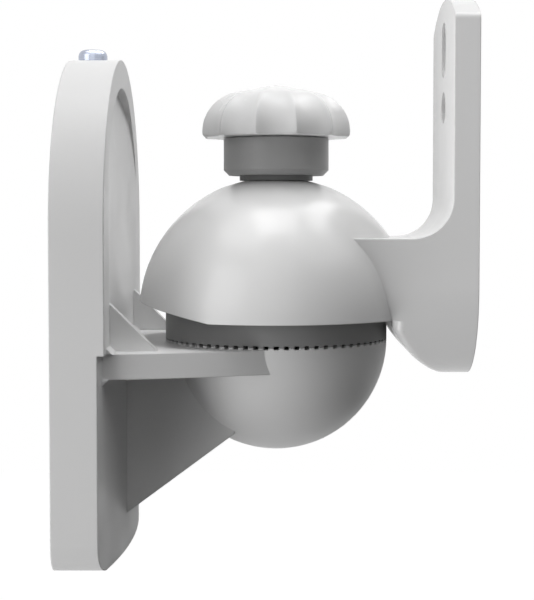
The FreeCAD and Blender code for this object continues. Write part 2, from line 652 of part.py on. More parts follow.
def make_wall_plate():
    """Flat plate on the wall with four screw holes, two hooks and the lock screw's boss."""
    body = add_body("wall_plate")
    inset = "(Dims.shell_wall + Dims.plate_play)"
    outline = draw_loop(add_sketch(body, "plate_outline", "YZ_Plane"), arch_outline(inset))
    pad(body, "plate", outline, "Dims.wall_plate_thick")

    crest = "(Dims.hollow_depth - Dims.feature_gap)"
    boss_top = "(%s - %s - Dims.boss_drop)" % (TOP, inset)
    boss = add_sketch(body, "boss_outline", "YZ_Plane")
    draw_loop(boss, rectangle("-Dims.boss_width / 2", "Dims.boss_width / 2",
                              boss_top + " - Dims.boss_height", boss_top))
    pad(body, "boss", boss, crest)

    hook = add_sketch(body, "hook_outline", "XZ_Plane",
                      {"z": "(Dims.hook_spread + Dims.hook_width) / 2"})
    floor = "(-Dims.hook_drop - Dims.hook_floor)"
    draw_loop(hook, [
        ("Dims.wall_plate_thick - Dims.overlap", floor),
        (crest, floor),
        (crest, floor + " + Dims.hook_height"),
        (crest + " - Dims.hook_lip", floor + " + Dims.hook_height"),
        (crest + " - Dims.hook_lip", "-Dims.hook_drop"),
        ("Dims.wall_plate_thick - Dims.overlap", "-Dims.hook_drop"),
    ])
    side = pad(body, "hook", hook, "Dims.hook_width", reverse=True)
    mirror(body, "second_hook", [side])

    holes = add_sketch(body, "wall_screw_outline", "YZ_Plane")
    for across in ("-Dims.wall_screw_width / 2", "Dims.wall_screw_width / 2"):
        for along in ("-Dims.wall_screw_height / 2", "Dims.wall_screw_height / 2"):
            draw_circle(holes, across, along, "Dims.wall_screw_radius")
    pocket(body, "wall_screw_holes", holes)

    bore = add_sketch(body, "lock_bore_outline", "XY_Plane",
                      {"x": "Dims.lock_screw_depth", "z": boss_top})
    draw_circle(bore, "0", "0", "Dims.small_screw_radius + Dims.hole_play")
    pocket(body, "lock_bore", bore, "Dims.boss_height - Dims.boss_floor")

    seat = add_sketch(body, "lock_nut_seat_outline", "XY_Plane",
                      {"z": TOP + " - Dims.lock_nut_drop + Dims.hex_play"})
    half = "(Dims.lock_nut_width / 2 + Dims.hex_play)"
    draw_loop(seat, rectangle("Dims.lock_screw_depth - " + half, "Dims.hollow_depth",
                              "-" + half, half))
    pocket(body, "lock_nut_seat", seat, "Dims.lock_nut_height + 2 * Dims.hex_play")
    return body


def make_lock_nut():
    """Square nut that is slid into the wall plate's boss."""
    body = add_body("lock_nut")
    sketch = add_sketch(body, "lock_nut_outline", "XY_Plane",
                        {"x": "Dims.lock_screw_depth", "z": TOP + " - Dims.lock_nut_drop"})
    half = "(Dims.lock_nut_width / 2)"
    draw_loop(sketch, rectangle("-" + half, half, "-" + half, half))
    draw_circle(sketch, "0", "0", "Dims.small_screw_radius")
    pad(body, "lock_nut_block", sketch, "Dims.lock_nut_height", reverse=True)
    return body


def pan_head_corners(seat, shank, length):
    """Half section of a pan-head screw: flat seat, rounded head above, shank below."""
    head = "Dims.small_head_radius"
    height = "Dims.small_head_height"
    brow = "(%s * Dims.head_brow)" % height
    crown = "(%s * Dims.head_crown)" % head
    return [
        ("0", "%s - %s" % (seat, length)),
        (shank, "%s - %s" % (seat, length)),
        (shank, seat),
        (head, seat),
        (head, "%s + %s" % (seat, brow), "Dims.head_round", 1),
        (crown, "%s + %s" % (seat, height)),
        ("0", "%s + %s" % (seat, height)),
    ]


def cut_cross_recess(body, shift):
    """Cross recess in the top of a screw's head."""
    arm = "(Dims.small_head_radius * Dims.recess_span)"
    half = "(Dims.recess_width / 2)"
    for name, across, along in (("recess_a", arm, half), ("recess_b", half, arm)):
        sketch = add_sketch(body, name + "_outline", "XY_Plane", shift)
        draw_loop(sketch, rectangle("-" + across, across, "-" + along, along))
        pocket(body, name, sketch, "Dims.recess_depth")


def make_lock_screw():
    """Pan-head screw from above that locks the housing to the wall plate."""
    body = add_body("lock_screw")
    seat = "(%s - Dims.spot_sink)" % TOP
    sketch = add_sketch(body, "lock_screw_outline", "XZ_Plane",
                        {"x": "Dims.lock_screw_depth"})
    draw_loop(sketch, pan_head_corners(seat, "Dims.small_screw_radius",
                                       "Dims.lock_screw_length"))
    turn(body, "lock_screw_turned", sketch)
    cut_cross_recess(body, {"x": "Dims.lock_screw_depth",
                            "z": seat + " + Dims.small_head_height"})
    return body


def make_clamp_bolt():
    """Hexagon bolt that stands in the bowl's post."""
    body = add_body("clamp_bolt")
    stand_on_swivel(body)
    head = add_sketch(body, "bolt_head_outline", "XY_Plane", {"z": "-Dims.post_drop"})
    draw_loop(head, hexagon("Dims.hex_width"))
    pad(body, "bolt_head", head, "Dims.hex_height", reverse=True)
    shank = add_sketch(body, "bolt_shank_outline", "XZ_Plane")
    tip = "(Dims.bolt_length - Dims.post_drop)"
    draw_loop(shank, [
        ("0", "-Dims.post_drop - Dims.overlap"),
        ("Dims.bolt_radius", "-Dims.post_drop - Dims.overlap"),
        ("Dims.bolt_radius", tip + " - Dims.bolt_tip_bevel"),
        ("Dims.bolt_radius - Dims.bolt_tip_bevel", tip),
        ("0", tip),
    ])
    turn(body, "bolt_shank", shank)
    return body


def make_bolt_retainer():
    """Steel disc over the bolt's head, with three screw holes."""
    body = add_body("bolt_retainer")
    stand_on_swivel(body)
    sketch = add_sketch(body, "retainer_outline", "XY_Plane", {"z": "-Dims.post_drop"})
    draw_circle(sketch, "0", "0", "Dims.retainer_radius")
    draw_circle(sketch, "0", "0", "Dims.bolt_radius + Dims.hole_play")
    pad(body, "retainer_disc", sketch, "Dims.retainer_thick")
    hole = add_sketch(body, "retainer_hole_outline", "XY_Plane", {"z": RETAINER_TOP})
    draw_circle(hole, "Dims.retainer_screw_circle", "0",
                "Dims.small_screw_radius + Dims.hole_play")
    cut = pocket(body, "retainer_hole", hole, "Dims.retainer_thick")
    polar(body, "retainer_holes", [cut], hole, "3")
    return body


def make_retainer_screws():
    """The three screws of the retainer, as one group of separate solids."""
    screws = []
    for number in range(3):
        screw = add_body("retainer_screw_%d" % (number + 1))
        sketch = add_sketch(screw, "retainer_screw_outline", "XZ_Plane")
        draw_loop(sketch, pan_head_corners("0", "Dims.small_screw_radius",
                                           "Dims.retainer_screw_length"))
        turn(screw, "retainer_screw_turned", sketch)
        cut_cross_recess(screw, {"z": "Dims.small_head_height"})
        angle = 120 * number
        screw.setExpression("Placement.Base.x", "Dims.swivel_reach"
                            " + Dims.retainer_screw_circle * cos(%d)" % angle)
        screw.setExpression("Placement.Base.y",
                            "Dims.retainer_screw_circle * sin(%d)" % angle)
        screw.setExpression("Placement.Base.z", "-Dims.teeth_drop + " + RETAINER_TOP)
        screws.append(screw)
    group = doc.addObject("Part::Compound", "retainer_screws")
    group.Label = "retainer_screws"
    group.Links = screws
    return group


def make_lift_spring():
    """Coil spring round the bolt, between the retainer and the hub of the core."""
    wire = value("Dims.spring_wire")
    length = value("Dims.spring_length")
    travel = length - wire
    coil = Part.makeHelix(travel / value("Dims.spring_turns"), travel,
                          value("Dims.spring_radius"))
    section = Part.Wire([Part.makeCircle(wire / 2,
                                         FreeCAD.Vector(value("Dims.spring_radius"), 0, 0),
                                         FreeCAD.Vector(0, 1, 0))])
    solid = Part.Wire(coil.Edges).makePipeShell([section], True, True)
    spring = doc.addObject("Part::Feature", "lift_spring")
    spring.Label = "lift_spring"
    spring.Shape = solid
    foot = "-Dims.teeth_drop + %s + Dims.spring_wire / 2" % RETAINER_TOP
    spring.setExpression("Placement.Base.x", "Dims.swivel_reach")
    spring.setExpression("Placement.Base.z", foot)
    return spring


def make_swivel_core():
    """Hollow drum with crown teeth below and a ball-shaped crown above."""
    body = add_body("swivel_core")
    stand_on_swivel(body)
    inner_crown = "(%s - Dims.crown_wall)" % CROWN
    sketch = add_sketch(body, "core_outline", "XZ_Plane")
    draw_loop(sketch, [
        ("Dims.bowl_radius", "Dims.tooth_play"),
        ("Dims.bowl_radius", ball_height(CROWN, "Dims.bowl_radius", "Dims.tilt_rise"),
         CROWN, 1),
        (BOLT_BORE, ball_height(CROWN, BOLT_BORE, "Dims.tilt_rise")),
        (BOLT_BORE, "-Dims.hub_drop"),
        ("Dims.hub_radius", "-Dims.hub_drop"),
        ("Dims.hub_radius", ball_height(inner_crown, "Dims.hub_radius", "Dims.tilt_rise"),
         inner_crown, -1),
        (BOWL_INSIDE, ball_height(inner_crown, BOWL_INSIDE, "Dims.tilt_rise")),
        (BOWL_INSIDE, "Dims.tooth_play"),
    ])
    turn(body, "core_shell", sketch)
    well = add_sketch(body, "spring_well_outline", "XY_Plane", {"z": "-Dims.hub_drop"})
    draw_circle(well, "0", "0", SPRING_OUTSIDE)
    pocket(body, "spring_well", well,
           "%s + Dims.spring_length + Dims.hub_drop" % RETAINER_TOP, reverse=True)
    add_tooth_notches(body, {"z": "Dims.tooth_play"}, upwards=True)
    return body


def make_speaker_arm():
    """Dome, arm and speaker plate, moulded in one piece."""
    body = add_body("speaker_arm")
    stand_on_swivel(body)
    back = "(Dims.plate_reach - Dims.plate_thick)"
    rim = "(Dims.tilt_rise - Dims.dome_rim_drop)"
    half = "(Dims.arm_width / 2)"
    foot_centre = "(Dims.arm_rise - Dims.foot_drop)"
    side = add_sketch(body, "arm_side_outline", "XZ_Plane")
    draw_loop(side, [
        ("Dims.arm_root", "Dims.arm_rise"),
        ("Dims.arm_root", rim),
        ("Dims.web_start", rim),
        ("Dims.web_start", rim + " - Dims.web_step", "Dims.web_radius", 1),
        ("Dims.plate_reach - Dims.foot_length", "%s - %s" % (foot_centre, half)),
        ("Dims.plate_reach", "%s - %s" % (foot_centre, half)),
        ("Dims.plate_reach", "Dims.plate_rise"),
        (back, "Dims.plate_rise"),
        (back, "Dims.arm_rise + Dims.arm_fillet", "Dims.arm_fillet", -1),
        (back + " - Dims.arm_fillet", "Dims.arm_rise"),
    ])
    pad(body, "arm_side", side, "Dims.arm_width", symmetric=True)

    # What lies outside the front outline goes: two lower quarters and the arched top.
    shoulder = ("(Dims.plate_rise - Dims.plate_crown_radius"
                " + sqrt(Dims.plate_crown_radius ^ 2 - %s ^ 2))" % half)
    beyond = "(%s + Dims.overlap)" % half
    low = add_sketch(body, "foot_cut_outline", "YZ_Plane")
    draw_loop(low, [
        ("-" + half, foot_centre, half, 1),
        ("0", "%s - %s" % (foot_centre, half), half, 1),
        (half, foot_centre),
        (beyond, foot_centre),
        (beyond, "%s - %s" % (foot_centre, beyond)),
        ("-" + beyond, "%s - %s" % (foot_centre, beyond)),
        ("-" + beyond, foot_centre),
    ])
    pocket(body, "foot_cut", low)
    high = add_sketch(body, "crown_cut_outline", "YZ_Plane")
    draw_loop(high, [
        (half, shoulder, "Dims.plate_crown_radius", 1),
        ("-" + half, shoulder),
        ("-" + beyond, shoulder),
        ("-" + beyond, "Dims.plate_rise + Dims.overlap"),
        (beyond, "Dims.plate_rise + Dims.overlap"),
        (beyond, shoulder),
    ])
    cut = pocket(body, "crown_cut", high)

    doc.recompute()
    corners = edges_where(cut, lambda edge: is_along_x(edge)
                          and near(abs(edge.CenterOfMass.y), value(half))
                          and near(edge.CenterOfMass.z, value(shoulder)))
    round_edges(body, "plate_corners", cut, corners, "Dims.plate_corner_round")
    doc.recompute()
    web = edges_where(body.Tip, lambda edge: edge.Curve.TypeId != "Part::GeomLine"
                      and edge.BoundBox.ZMax < value(rim) + 0.01
                      and edge.BoundBox.XMax < value("Dims.plate_reach") - 1)
    round_edges(body, "web_edge", body.Tip, web, "Dims.web_round")

    dome = add_sketch(body, "dome_outline", "XZ_Plane")
    draw_loop(dome, [
        ("0", rim),
        ("sqrt(Dims.dome_radius ^ 2 - Dims.dome_rim_drop ^ 2)", rim, "Dims.dome_radius", 1),
        ("0", DOME_TOP),
    ])
    turn(body, "dome", dome)
    inside = add_sketch(body, "dome_hollow_outline", "XZ_Plane")
    draw_loop(inside, [
        ("0", "Dims.tilt_rise - " + DOME_INSIDE, DOME_INSIDE, 1),
        (DOME_INSIDE, "Dims.tilt_rise", DOME_INSIDE, 1),
        ("0", "Dims.tilt_rise + " + DOME_INSIDE),
    ])
    turn(body, "dome_hollow", inside, "Groove")

    bevel = add_sketch(body, "rim_bevel_outline", "XZ_Plane")
    beyond = "(Dims.dome_radius + Dims.overlap)"
    draw_loop(bevel, [
        ("-Dims.bevel_start", rim),
        ("-" + beyond, "%s + (%s - Dims.bevel_start) * tan(Dims.bevel_angle)" % (rim, beyond)),
        ("-" + beyond, rim + " - Dims.overlap"),
        ("-Dims.bevel_start", rim + " - Dims.overlap"),
    ])
    pocket(body, "rim_bevel", bevel)

    # The slot lets the dome tilt past the bolt.
    slot = add_sketch(body, "tilt_slot_outline", "XY_Plane",
                      {"z": DOME_TOP + " + Dims.overlap"})
    bolt = "(Dims.bolt_radius + Dims.slot_play)"
    run = "(Dims.dome_radius * tan(Dims.tilt_range))"
    draw_slot(slot, "0", "0", bolt, run, lengthways=True)
    pocket(body, "tilt_slot", slot, "Dims.dome_wall * 3")

    holes = add_sketch(body, "speaker_hole_outline", "YZ_Plane")
    draw_circle(holes, "0", "Dims.speaker_hole_rise", "Dims.speaker_hole_radius")
    draw_slot(holes, "0", "Dims.speaker_slot_rise", "Dims.speaker_hole_radius",
              "(Dims.speaker_slot_length / 2 - Dims.speaker_hole_radius)", lengthways=False)
    pocket(body, "speaker_holes", holes)
    return body


def near(one, other):
    return abs(one - other) < 1e-4


def is_along_x(edge):
    box = edge.BoundBox
    return near(box.YLength, 0) and near(box.ZLength, 0)


def edges_where(feature, test):
    """Names of the edges of a feature that pass a test."""
    return ["Edge%d" % number for number, edge in enumerate(feature.Shape.Edges, 1)
            if test(edge)]


def round_edges(body, name, base, edges, radius):
    feature = body.newObject("PartDesign::Fillet", name)
    feature.Base = (base, edges)
    feature.setExpression("Radius", radius)
    return feature


def draw_slot(sketch, across, along, radius, run, lengthways):
    """A slot with round ends, run being the distance from its middle to an end's centre."""
    if lengthways:
        draw_loop(sketch, [
            ("%s - %s" % (across, run), "%s - %s" % (along, radius)),
            ("%s + %s" % (across, run), "%s - %s" % (along, radius), radius, 1),
            ("%s + %s + %s" % (across, run, radius), along, radius, 1),
            ("%s + %s" % (across, run), "%s + %s" % (along, radius)),
            ("%s - %s" % (across, run), "%s + %s" % (along, radius), radius, 1),
            ("%s - %s - %s" % (across, run, radius), along, radius, 1),
        ])
    else:
        draw_loop(sketch, [
            ("%s + %s" % (across, radius), "%s - %s" % (along, run)),
            ("%s + %s" % (across, radius), "%s + %s" % (along, run), radius, 1),
            (across, "%s + %s + %s" % (along, run, radius), radius, 1),
            ("%s - %s" % (across, radius), "%s + %s" % (along, run)),
            ("%s - %s" % (across, radius), "%s - %s" % (along, run), radius, 1),
            (across, "%s - %s - %s" % (along, run, radius), radius, 1),
        ])


def make_seat_washer():
    """Neck ring with a hollow foot that follows the dome."""
    body = add_body("seat_washer")
    stand_on_swivel(body)
    ball = "(Dims.dome_radius + Dims.seat_gap)"
    bore = "(Dims.bolt_radius + Dims.hole_play)"
    sketch = add_sketch(body, "seat_outline", "XZ_Plane")
    draw_loop(sketch, [
        ("Dims.seat_radius", ball_height(ball, "Dims.seat_radius", "Dims.tilt_rise")),
        ("Dims.seat_radius", SEAT_TOP),
        (bore, SEAT_TOP),
        (bore, ball_height(ball, bore, "Dims.tilt_rise"), ball, -1),
    ])
    turn(body, "seat", sketch)
    return body


def make_collar():
    """Spacer with recesses for the neck below and for the washer above."""
    body = add_body("collar")
    stand_on_swivel(body)
    bore = "(Dims.bolt_radius + Dims.hole_play)"
    low_recess = "(Dims.seat_radius + Dims.collar_play)"
    high_recess = "(Dims.washer_radius + Dims.collar_play)"
    floor = "(%s - Dims.washer_thick + Dims.washer_proud)" % COLLAR_TOP
    sketch = add_sketch(body, "collar_outline", "XZ_Plane")
    draw_loop(sketch, [
        (low_recess, COLLAR_FOOT),
        ("Dims.collar_radius - Dims.collar_bevel", COLLAR_FOOT),
        ("Dims.collar_radius", COLLAR_FOOT + " + Dims.collar_bevel"),
        ("Dims.collar_radius", COLLAR_TOP),
        (high_recess, COLLAR_TOP),
        (high_recess, floor),
        (bore, floor),
        (bore, SEAT_TOP),
        (low_recess, SEAT_TOP),
    ])
    turn(body, "collar_turned", sketch)
    return body


def make_knob_washer():
    """Flat washer between the collar and the knob's nut."""
    body = add_body("knob_washer")
    stand_on_swivel(body)
    sketch = add_sketch(body, "washer_outline", "XY_Plane",
                        {"z": COLLAR_TOP + " - Dims.washer_thick + Dims.washer_proud"})
    draw_circle(sketch, "0", "0", "Dims.washer_radius")
    draw_circle(sketch, "0", "0", "Dims.bolt_radius + Dims.hole_play")
    pad(body, "washer", sketch, "Dims.washer_thick")
    return body


def make_knob_nut():
    """Hexagon nut held in the knob."""
    body = add_body("knob_nut")
    stand_on_swivel(body)
    sketch = add_sketch(body, "nut_outline", "XY_Plane", {"z": KNOB_FOOT})
    draw_loop(sketch, hexagon("Dims.hex_width"))
    draw_circle(sketch, "0", "0", BOLT_BORE)
    pad(body, "nut", sketch, "Dims.nut_height")
    return body


def make_knob_cap():
    """Domed knob with flutes whose ridges run up to its top."""
    body = add_body("knob_cap")
    stand_on_swivel(body)
    lip = "(%s + Dims.knob_lip)" % KNOB_FOOT
    shoulder = "Dims.knob_shoulder_radius"
    inset = "(Dims.knob_radius - %s)" % shoulder
    # The domed top is a sphere that runs smoothly into the shoulder.
    span = "(Dims.knob_top_radius - %s)" % shoulder
    depth = "sqrt(%s ^ 2 - %s ^ 2)" % (span, inset)
    meet_across = "(%s * Dims.knob_top_radius / %s)" % (inset, span)
    meet_height = "(%s + %s * (Dims.knob_top_radius / %s - 1))" % (lip, depth, span)
    sketch = add_sketch(body, "knob_outline", "XZ_Plane")
    draw_loop(sketch, [
        ("0", KNOB_FOOT),
        ("Dims.knob_radius - Dims.knob_lip_round", KNOB_FOOT, "Dims.knob_lip", 1),
        ("Dims.knob_radius", lip, shoulder, 1),
        (meet_across, meet_height, "Dims.knob_top_radius", 1),
        ("0", "%s - %s + Dims.knob_top_radius" % (lip, depth)),
    ])
    turn(body, "knob_dome", sketch)

    # Each flute climbs the shoulder along an arc and runs out straight over the top.
    start = "(Dims.knob_radius - Dims.flute_depth + Dims.flute_radius)"
    centre = "(%s - Dims.flute_bend)" % start
    leave_across = "(%s + Dims.flute_bend * cos(Dims.flute_rise))" % centre
    leave_height = "(%s + Dims.flute_bend * sin(Dims.flute_rise))" % lip
    path = add_sketch(body, "flute_path", "XZ_Plane")
    draw_path(path, [
        (start, KNOB_FOOT + " - Dims.overlap"),
        (start, lip, "Dims.flute_bend", 1),
        (leave_across, leave_height),
        ("%s - Dims.knob_radius * sin(Dims.flute_rise)" % leave_across,
         "%s + Dims.knob_radius * cos(Dims.flute_rise)" % leave_height),
    ])
    section = add_sketch(body, "flute_section", "XY_Plane",
                         {"z": KNOB_FOOT + " - Dims.overlap"})
    draw_circle(section, start, "0", "Dims.flute_radius")
    flute = body.newObject("PartDesign::SubtractivePipe", "flute")
    flute.Profile = section
    flute.Spine = (path, ["Edge1", "Edge2", "Edge3"])
    polar(body, "flutes", [flute], section, "Dims.flute_count")

    nut_seat = add_sketch(body, "nut_seat_outline", "XY_Plane", {"z": KNOB_FOOT})
    draw_loop(nut_seat, hexagon("(Dims.hex_width + 2 * Dims.hex_play)"))
    pocket(body, "nut_seat", nut_seat, "Dims.nut_height", reverse=True)
    well = add_sketch(body, "bolt_well_outline", "XY_Plane", {"z": KNOB_FOOT})
    draw_circle(well, "0", "0", "Dims.bolt_radius + Dims.hole_play")
    pocket(body, "bolt_well", well, "Dims.nut_height + Dims.tip_room", reverse=True)
    return body


def check_objects():
    """Stops if an object of the document failed."""
    for item in doc.Objects:
        if "Invalid" in item.State or "Error" in item.State:
            raise RuntimeError("%s: %s" % (item.Label, item.State))


PIECES = [
    make_wall_plate(),
    make_lock_nut(),
    make_wall_housing(),
    make_lock_screw(),
    make_clamp_bolt(),
    make_bolt_retainer(),
    make_retainer_screws(),
    make_lift_spring(),
    make_swivel_core(),
    make_speaker_arm(),
    make_seat_washer(),
    make_collar(),
    make_knob_washer(),
    make_knob_nut(),
    make_knob_cap(),
]
doc.recompute()
check_objects()
os.makedirs("parts", exist_ok=True)
for piece in PIECES:
    shape = piece.Shape
    if shape.isNull() or not shape.isValid():
        raise RuntimeError("%s has no valid shape" % piece.Label)
    shape.exportStep("parts/%s.step" % piece.Label)
    box = shape.BoundBox
    print("%-16s solids %d volume %9.1f  X %.1f..%.1f  Y %.1f..%.1f  Z %.1f..%.1f" % (
        piece.Label, len(shape.Solids), shape.Volume,
        box.XMin, box.XMax, box.YMin, box.YMax, box.ZMin, box.ZMax))
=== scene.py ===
# %% [markdown]
# # A wall bracket for a small speaker
#
# The bracket is a handful of mouldings. A white arched housing hangs on the wall and carries
# a ledge and a half-ball bowl. A drum turns on the bowl over a ring of crown teeth, and its
# grey is painted shade for the dark under the dome. A white dome tilts on the drum and carries
# an arm with the speaker plate, and a fluted knob clamps them all. The solids already exist
# with their true sizes, so this notebook takes them as a fixed frame. It gives each piece the
# look it has in the hand: satin plastic with softly broken edges, a knob with rounded ridges,
# and screws with real threads.

# %% Load the fixed frame
import math

import bmesh
import bpy
import numpy as np
from mathutils import Matrix, Vector


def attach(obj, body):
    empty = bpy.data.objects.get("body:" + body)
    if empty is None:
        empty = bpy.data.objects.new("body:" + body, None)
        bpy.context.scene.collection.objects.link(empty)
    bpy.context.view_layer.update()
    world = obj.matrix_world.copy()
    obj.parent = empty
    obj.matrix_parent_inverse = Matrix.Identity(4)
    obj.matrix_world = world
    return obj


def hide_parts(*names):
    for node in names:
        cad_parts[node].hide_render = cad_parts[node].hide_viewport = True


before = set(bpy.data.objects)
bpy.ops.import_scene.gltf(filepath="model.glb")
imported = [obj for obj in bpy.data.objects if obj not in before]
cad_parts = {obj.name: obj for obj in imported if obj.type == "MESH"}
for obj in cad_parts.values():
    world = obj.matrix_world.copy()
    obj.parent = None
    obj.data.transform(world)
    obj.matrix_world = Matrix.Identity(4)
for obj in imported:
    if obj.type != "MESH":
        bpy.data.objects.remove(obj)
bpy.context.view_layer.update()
MM = 0.001
print("pieces in the frame:", ", ".join(sorted(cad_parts)))

# %% [markdown]
# ## The camera first
#
# A long lens from about thirty centimetres gives the flat side view of a catalogue picture.
# It stands a little above the joint between drum and bowl and looks down by less than three
# degrees. A Blender camera counts its tilt from straight down, so a level view has 90.

# %% Camera
CAMERA_PLACE = (0.0414, -0.2875, 0.0184)
LOOK_DOWN = 2.6
LOOK_ASIDE = 0.26

camera_data = bpy.data.cameras.new("side_camera")
camera_data.lens = 82.7
camera_data.sensor_width = 36
camera_data.shift_y = -0.0435
camera_data.clip_start = 0.01
camera = bpy.data.objects.new("side_camera", camera_data)
camera.location = CAMERA_PLACE
camera.rotation_euler = (math.radians(90 - LOOK_DOWN), 0, math.radians(LOOK_ASIDE))
bpy.context.scene.collection.objects.link(camera)
bpy.context.scene.camera = camera
bpy.context.scene.view_settings.view_transform = "Standard"
print("camera at", tuple(camera.location))

# %% [markdown]
# ## A dim sky with a white backdrop
#
# White plastic shows its shape only through shade. Under a bright world every side would be
# equally light, so this world gives very little light, and a touch more from above than
# from below. The picture's white background is a second value of the same world. Light Path
# tells camera, mirror and glass rays from the others, and only those three see plain white.
# The rays that light the matte colour of the bracket see the dim sky.


# %% Node helpers
def add_node(nodes, kind, label, **settings):
    """A node with a label, and its settings or input values by name."""
    node = nodes.new(kind)
    node.label = label
    for name, value in settings.items():
        if hasattr(node, name):
            setattr(node, name, value)
        else:
            node.inputs[name.replace("_", " ")].default_value = value
    return node


def seen_directly(nodes, links):
    """1 where a camera ray, a mirror ray or a ray through glass looks, otherwise 0."""
    path = add_node(nodes, "ShaderNodeLightPath", "who looks")
    either = add_node(nodes, "ShaderNodeMath", "camera or mirror", operation="MAXIMUM")
    any_of = add_node(nodes, "ShaderNodeMath", "or glass", operation="MAXIMUM")
    links.new(path.outputs["Is Camera Ray"], either.inputs[0])
    links.new(path.outputs["Is Glossy Ray"], either.inputs[1])
    links.new(either.outputs[0], any_of.inputs[0])
    links.new(path.outputs["Is Transmission Ray"], any_of.inputs[1])
    return any_of.outputs[0]


print("helpers:", add_node.__name__, seen_directly.__name__)

# %% World
SKY = 0.03
GROUND = 0.01
# The light fades from ground to sky between these heights, where 1 is straight up.
HAZE_BOTTOM = -0.15
HAZE_TOP = 0.25

world = bpy.data.worlds.new("studio_sky")
bpy.context.scene.world = world
world.use_nodes = True
sky_nodes = world.node_tree.nodes
sky_links = world.node_tree.links
sky_nodes.clear()
direction = add_node(sky_nodes, "ShaderNodeTexCoord", "direction")
height = add_node(sky_nodes, "ShaderNodeSeparateXYZ", "height")
fade = add_node(sky_nodes, "ShaderNodeMapRange", "ground to sky", From_Min=HAZE_BOTTOM,
                From_Max=HAZE_TOP, To_Min=GROUND, To_Max=SKY)
lit_by = add_node(sky_nodes, "ShaderNodeBackground", "light")
seen_as = add_node(sky_nodes, "ShaderNodeBackground", "backdrop", Strength=1.0)
seen_as.inputs["Color"].default_value = (1, 1, 1, 1)
choose = add_node(sky_nodes, "ShaderNodeMixShader", "light or backdrop")
sky_out = add_node(sky_nodes, "ShaderNodeOutputWorld", "world")
sky_links.new(direction.outputs["Generated"], height.inputs[0])
sky_links.new(height.outputs["Z"], fade.inputs["Value"])
sky_links.new(fade.outputs["Result"], lit_by.inputs["Strength"])
sky_links.new(seen_directly(sky_nodes, sky_links), choose.inputs["Fac"])
sky_links.new(lit_by.outputs[0], choose.inputs[1])
sky_links.new(seen_as.outputs[0], choose.inputs[2])
sky_links.new(choose.outputs[0], sky_out.inputs["Surface"])
print("sky", SKY, "ground", GROUND)

# %% [markdown]
# ## A floor far below
#
# The floor is a plain square well under the bracket. Its matte grey paint takes the object's
# shadow and throws little light back up. The white that is seen is an emission on top of
# the paint, and the same Light Path switch shows it to the direct rays alone.

# %% Floor
FLOOR_Z = -0.80
FLOOR_REACH = 4
FLOOR_GREY = 0.16

corners = [(-FLOOR_REACH, -FLOOR_REACH, FLOOR_Z), (FLOOR_REACH, -FLOOR_REACH, FLOOR_Z),
           (FLOOR_REACH, FLOOR_REACH, FLOOR_Z), (-FLOOR_REACH, FLOOR_REACH, FLOOR_Z)]
floor_mesh = bpy.data.meshes.new("floor")
floor_mesh.from_pydata(corners, [], [(0, 1, 2, 3)])
floor = bpy.data.objects.new("floor", floor_mesh)
bpy.context.scene.collection.objects.link(floor)
print("floor at", FLOOR_Z)

# %% Floor paint
floor_paint = bpy.data.materials.new("floor_paint")
floor_paint.use_nodes = True
nodes = floor_paint.node_tree.nodes
links = floor_paint.node_tree.links
nodes.clear()
matte = add_node(nodes, "ShaderNodeBsdfDiffuse", "paint")
matte.inputs["Color"].default_value = (FLOOR_GREY, FLOOR_GREY, FLOOR_GREY, 1)
glow = add_node(nodes, "ShaderNodeEmission", "pale backdrop, strength 1 where seen")
both = add_node(nodes, "ShaderNodeAddShader", "paint and backdrop")
out = add_node(nodes, "ShaderNodeOutputMaterial", "floor")
links.new(seen_directly(nodes, links), glow.inputs["Strength"])
links.new(matte.outputs[0], both.inputs[0])
links.new(glow.outputs[0], both.inputs[1])
links.new(both.outputs[0], out.inputs["Surface"])
floor_mesh.materials.append(floor_paint)
print("floor paint", FLOOR_GREY)

# %% [markdown]
# ## Nine soft boxes
#
# The shade comes from nine square soft boxes, all at one distance. Five stand high, so that
# level faces are the lightest. Two stand lower in front, and two low ones on the left lift
# the bowl and the undersides. Each is placed by its height and turn in degrees, like the sun
# in the sky. On a level face their strengths add up to about 1.1, so that white plastic
# stays just short of blank paper.

# %% Soft boxes
MIDDLE = Vector((0.04, 0, 0.01))
REACH = 0.9


def soft_box(name, height, turn, width, strength):
    """A square lamp that stands REACH away from the middle and faces it.

    Its height and turn are in degrees, and the turn counts from the camera's side towards
    +X. The strength is the light that falls on a face turned to the lamp, where 1 makes a
    white face just white.
    """
    rise, way = math.radians(height), math.radians(turn)
    away = Vector((math.cos(rise) * math.sin(way), -math.cos(rise) * math.cos(way),
                   math.sin(rise)))
    lamp = bpy.data.lights.new(name, "AREA")
    lamp.shape = "SQUARE"
    lamp.size = width
    lamp.energy = strength * math.pi ** 2 * REACH ** 2
    holder = bpy.data.objects.new(name, lamp)
    holder.location = MIDDLE + REACH * away
    holder.rotation_mode = "QUATERNION"
    holder.rotation_quaternion = (-away).to_track_quat("-Z", "Y")
    holder.visible_camera = False
    bpy.context.scene.collection.objects.link(holder)


soft_box("overhead_box", 85, 0, 0.42, 0.275)
soft_box("left_top_box", 70, -60, 0.57, 0.21)
soft_box("front_top_box", 55, 0, 0.57, 0.10)
soft_box("right_top_box", 55, 60, 0.62, 0.17)
soft_box("back_top_box", 55, 120, 0.57, 0.40)
soft_box("left_front_box", 20, -45, 0.57, 0.18)
soft_box("front_box", 20, 0, 0.57, 0.055)
soft_box("low_left_box", -25, -60, 0.57, 0.56)
soft_box("foot_box", -50, -60, 0.57, 0.24)

# %% [markdown]
# ## Broken edges
#
# No mould has a perfectly sharp corner, and no bolt either. The thin highlight along a small
# radius is what makes a render look solid. A Bevel modifier would change the solids' meshes,
# which stay as they are, so the radius is made in the shader, where the Bevel node bends
# the normal near an edge. Every finish uses it, so it is a node group that is built once.


